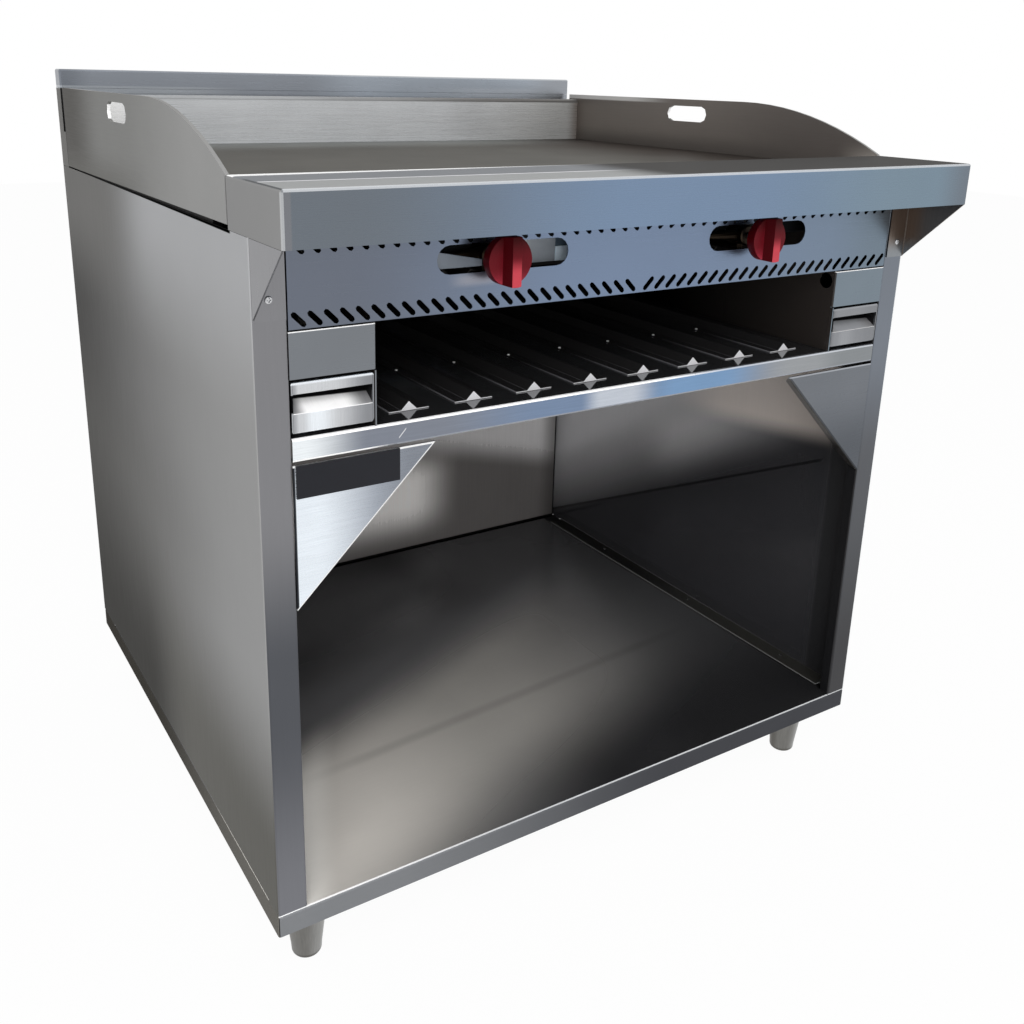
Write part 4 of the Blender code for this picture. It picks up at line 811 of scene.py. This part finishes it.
class GRIDDLE_OT_drawers(GriddleStep, bpy.types.Operator):
    """Grease drawers' fronts: pressed, polished, with a finger scoop."""

    bl_idname = "griddle.drawers"
    bl_label = "Drawer fronts"

    def execute(self, context):
        # Pressed and polished 304 with fine cross streaks: the left front painted bright and the right one darker for
        # how the light falls on each, painted highlights on the crown, the sill and the top edge, a painted band of
        # light on the scoop's floor, and painted shade under the lip, inside the scoop and at its left end
        tones = {"left": ("#D0D2D5", "#8C8E92", "#F0F5FA", "#FFFFFF", "#FFFFFF"),
                 "right": ("#8E9094", "#84868A", "#9A9CA0", "#94969A", "#C8C8C8")}
        for side, (body, far, crown, ramp, sill) in tones.items():
            low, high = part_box(f"{side}_drawer_front")
            slope = facing((0, -0.48, 0.88), 0.88, 0.95)
            floor = at(Y, low.y + 0.0002, low.y + 0.0006), at(Z, low.z + 0.0420, low.z + 0.0400)
            inside = at(Y, low.y + 0.0026, low.y + 0.0032)
            roof = low.z + 0.019 * low.x
            bright = finish(f"polished_304_{side}_drawer", linear(body), 0.22, (1.0, 30, 30), 0.05, [
                wash(far, at(X, low.x + 0.040, low.x + 0.082)),
                wash("#7E8084", at(X, low.x + 0.008, low.x + 0.002), strength=0.6),
                wash(crown, at(X, low.x + 0.010, low.x + 0.022), at(X, low.x + 0.048, low.x + 0.028),
                     at(Z, low.z + 0.0240, low.z + 0.0200)),
                wash(crown, at(Z, high.z - 0.0036, high.z - 0.0018), at(Y, low.y + 0.0050, low.y + 0.0040)),
                wash("#8E8E90", slope, *floor, rough=0.4, metal=0.2),
                wash(ramp, slope, *floor, at(X, low.x + 0.004, low.x + 0.018), at(X, high.x - 0.006, high.x - 0.030),
                     rough=0.4, metal=0.0),
                wash(sill, facing((0, -0.80, 0.60), 0.93, 0.97), *floor, rough=0.4, metal=0.0),
                wash("#1C1C1E", inside, at((0.019, 0, 1), roof + 0.0305, roof + 0.0315), rough=0.5, metal=0.6),
                wash("#0C0C0D", at(X, low.x + 0.0024, low.x + 0.0018), at(Z, low.z + 0.0215, low.z + 0.0225),
                     at(Z, low.z + 0.0400, low.z + 0.0392), rough=0.5),
                wash("#1C1C1E", inside, TURNS_LEFT, rough=0.5, metal=0.6),
            ])
            make_piece(f"{side}_pressed_front", [drawer_surface(low, high, self.sizes)], f"{side}_drawer", bright,
                       [f"{side}_drawer_front"], sharp=32)
        return {"FINISHED"}


class GRIDDLE_OT_feet(GriddleStep, bpy.types.Operator):
    """Turned feet: a tapered body with a rounded bottom on a plain stud."""

    bl_idname = "griddle.feet"
    bl_label = "Feet"

    def execute(self, context):
        # Drawn 304 tube: satin, with fine lines along it; painted shade at its bottom and where it turns from the
        # light, and painted light on its front right side
        tube = finish("drawn_304_foot", linear("#747370"), 0.34, (2.0, 2.0, 60), 0.10, [
            wash("#5C5A56", facing((-0.8, 0.6, 0), 0.45, 0.90)),
            wash("#8C8C8A", facing((0.8, -0.6, 0), 0.20, 0.85)),
            wash("#585652", at(Z, 0.0080, 0.0040)),
        ])
        edge, sole, cut, stud = self.sizes.foot_edge, 0.0006, 0.0012, 0.006
        for foot in FEET:
            low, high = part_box(f"{foot}_foot")
            radius, tall = (high.x - low.x) / 2, up(0)
            base = radius - self.sizes.foot_taper
            profile = np.concatenate([
                [[0, sole], [base - edge - 0.002, sole], [base - edge, 0]],
                arc((base - edge, edge), edge, -90, 0, 8),
                [[base + 0.0004, 0.0125], [radius, tall - cut], [radius - cut, tall], [stud, tall],
                 [stud, high.z - 0.001], [stud - 0.001, high.z], [0, high.z]],
            ])
            centre = ((low.x + high.x) / 2, (low.y + high.y) / 2, 0)
            make_piece(f"{foot}_turned_foot", [turned(profile, centre, 2, self.sizes.round_steps)],
                       f"{foot}_levelling_foot", tube, [f"{foot}_foot"])
        return {"FINISHED"}


def dome(centre, axis, way, radius, height, steps=20, cross=0):
    """A fastener's head: a low dome over a disc, with a cross sunk in where one of its two axes is near."""
    reach = np.concatenate([np.linspace(0, 0.86, 9), [0.94, 1.0, 1.0]]) * radius
    rise = height * np.sqrt(np.maximum(1 - (reach / radius) ** 2 * 0.82, 0))
    rise[-1] = -0.0002
    points = turned(np.stack([reach, way * rise], -1), centre, axis, steps)
    if cross:
        arms = np.abs(np.delete(points - np.array(centre), axis, -1)).min(-1)
        points[..., axis] -= way * 0.6 * height * ((arms < cross) & (reach[:, None] < 0.62 * radius))
    return points


class GRIDDLE_OT_fasteners(GriddleStep, bpy.types.Operator):
    """Screws on the brackets, and rivets on the floor flanges and the rest bars."""

    bl_idname = "griddle.fasteners"
    bl_label = "Screws and rivets"

    def execute(self, context):
        # Cold-headed 304: bright, lightly scratched
        bright = finish("cold_headed_304", linear("#C9CACC"), 0.22, (0.8, 0.8, 0.8), 0.08)
        size = self.sizes
        screw_x, screw_z, rivet_x, rivet_rows, bar_row = 0.434, up(0.706), 0.438, (0.116, 0.333, 0.572), 0.172
        for side, sign in SIDES.items():
            place = (sign * screw_x, back(-0.0018), screw_z)
            make_piece(f"{side}_bracket_screw", [dome(place, 1, -1, size.screw_head, 0.0019, 32, 0.0006)], "cabinet",
                       bright, sharp=50)
            heads = [dome((sign * rivet_x, back(y), FLOOR_TOP + 0.0018), 2, 1, size.rivet_head, 0.0009)
                     for y in rivet_rows]
            make_piece(f"{side}_flange_rivets", heads, "cabinet", bright, sharp=50)
        corners = [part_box(f"rest_bar_{i + 1}")[0] for i in range(BAR_COUNT)]
        heads = [dome((low.x + 0.0025, back(bar_row), low.z + 0.0012), 2, 1, size.bar_rivet, 0.0008) for low in corners]
        # Pale matt rivets, so they show as light dots in the dark cavity
        pale = finish("pale_matt_rivets", linear("#FFFFFF"), 0.50, (0.8, 0.8, 0.8), 0.04, metallic=0.0)
        make_piece("bar_rivets", heads, "cabinet", pale, sharp=50)
        return {"FINISHED"}


class GRIDDLE_OT_stage(GriddleStep, bpy.types.Operator):
    """Pale floor, soft lamps, white surroundings and the camera."""

    bl_idname = "griddle.stage"
    bl_label = "Studio"

    def execute(self, context):
        context.scene.view_settings.view_transform = "Standard"
        context.scene.world = self.surroundings()
        self.floor()
        self.lamp("key_lamp", (-1.6, -2.6, 3.0), 2.4, 60)
        self.lamp("front_lamp", (-1.1, -2.7, 0.95), 1.5, 25)
        self.lamp("fill_lamp", (2.8, -2.0, 2.0), 2.4, 12)
        context.scene.camera = self.camera()
        return {"FINISHED"}

    def surroundings(self):
        """World: white to the eye, to metal and to glass, and a gentler level for matt surfaces."""
        world = bpy.data.worlds.new("white_surroundings")
        tree = empty_tree(world)
        shown = self.shown(tree)
        soft = add_node(tree, "ShaderNodeBackground", None, {"Color": (1, 1, 1, 1), "Strength": 0.6})
        white = add_node(tree, "ShaderNodeBackground", None, {"Color": (1, 1, 1, 1), "Strength": 1.0})
        mixed = add_node(tree, "ShaderNodeMixShader", None, {0: shown, 1: soft.outputs[0], 2: white.outputs[0]})
        add_node(tree, "ShaderNodeOutputWorld", None, {"Surface": mixed.outputs[0]})
        return world

    def shown(self, tree):
        """1 for rays from the eye, from metal and through glass, 0 for the rest."""
        rays = add_node(tree, "ShaderNodeLightPath").outputs
        some = combine(tree, "MAXIMUM", rays["Is Camera Ray"], rays["Is Glossy Ray"])
        return combine(tree, "MAXIMUM", some, rays["Is Transmission Ray"])

    def floor(self):
        """A wide flat floor, nearly white, that keeps a soft shadow."""
        reach = np.linspace(-9, 9, 3)
        across, along = np.meshgrid(reach, reach, indexing="ij")
        points = np.stack([across, along, 0 * across], -1)
        mesh = bpy.data.meshes.new("studio_floor")
        mesh.from_pydata(points.reshape(-1, 3).tolist(), [], grid_faces(3, 3, False)[:, ::-1].tolist())
        material = bpy.data.materials.new("matt_studio_floor")
        tree = empty_tree(material)
        matt = add_node(tree, "ShaderNodeBsdfDiffuse", None, {"Color": self.colours.floor_white})
        white = add_node(tree, "ShaderNodeEmission", None, {"Color": (1, 1, 1, 1), "Strength": 1.0})
        level = combine(tree, "MULTIPLY", self.shown(tree), 0.96)
        mixed = add_node(tree, "ShaderNodeMixShader", None, {0: level, 1: matt.outputs[0], 2: white.outputs[0]})
        add_node(tree, "ShaderNodeOutputMaterial", None, {"Surface": mixed.outputs[0]})
        mesh.materials.append(material)
        floor = add_object("studio_floor", mesh)

    def lamp(self, name, place, size, power):
        """A square soft lamp that looks at the middle of the range; metal shows the white surroundings in its place."""
        data = bpy.data.lights.new(name, "AREA")
        data.size, data.energy = size, power
        lamp = add_object(name, data)
        lamp.location = place
        lamp.rotation_euler = (Vector((0, 0, 0.5)) - lamp.location).to_track_quat("-Z", "Y").to_euler()
        lamp.visible_glossy = False

    def camera(self):
        """A camera turned by yaw, pitch and roll, with its frame shifted down to the photo's crop."""
        yaw, pitch, roll = (math.radians(a) for a in (32.256, 16.890, 1.288))
        turn = (Matrix.Rotation(-yaw, 4, "Z") @ Matrix.Rotation(math.pi / 2 - pitch, 4, "X")
                @ Matrix.Rotation(roll, 4, "Z"))
        data = bpy.data.cameras.new("photo_camera")
        data.lens, data.sensor_width = 37.25, 36.0
        data.shift_x, data.shift_y = 0.02075, -0.11103
        data.clip_end = 100.0
        eye = add_object("photo_camera", data)
        eye.matrix_world = Matrix.Translation((-0.7638, -1.2645, 0.9931)) @ turn
        return eye


STEPS = (GRIDDLE_OT_stage, GRIDDLE_OT_sides, GRIDDLE_OT_base, GRIDDLE_OT_broiler, GRIDDLE_OT_front,
         GRIDDLE_OT_griddle_top, GRIDDLE_OT_gas_train, GRIDDLE_OT_nameplate, GRIDDLE_OT_knobs,
         GRIDDLE_OT_drawers, GRIDDLE_OT_feet, GRIDDLE_OT_fasteners)


class GRIDDLE_PT_panel(bpy.types.Panel):
    """Sidebar panel that lists the steps and the settings."""

    bl_idname = "GRIDDLE_PT_panel"
    bl_label = "Griddle range"
    bl_space_type = "VIEW_3D"
    bl_region_type = "UI"
    bl_category = "Griddle range"

    def draw(self, context):
        for step in STEPS:
            self.layout.operator(step.bl_idname)
        for group in (context.scene.griddle_sizes, context.scene.griddle_colours):
            for name in group.__annotations__:
                self.layout.prop(group, name)


CLASSES = (GriddleColours, GriddleSizes, *STEPS, GRIDDLE_PT_panel)


def register():
    for kind in CLASSES:
        bpy.utils.register_class(kind)
    bpy.types.Scene.griddle_colours = PointerProperty(type=GriddleColours)
    bpy.types.Scene.griddle_sizes = PointerProperty(type=GriddleSizes)


def unregister():
    del bpy.types.Scene.griddle_sizes
    del bpy.types.Scene.griddle_colours
    for kind in reversed(CLASSES):
        bpy.utils.unregister_class(kind)


def main():
    """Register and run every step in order."""
    register()
    for step in STEPS:
        group, name = step.bl_idname.split(".")
        getattr(getattr(bpy.ops, group), name)()


if __name__ == "__main__":
    main()
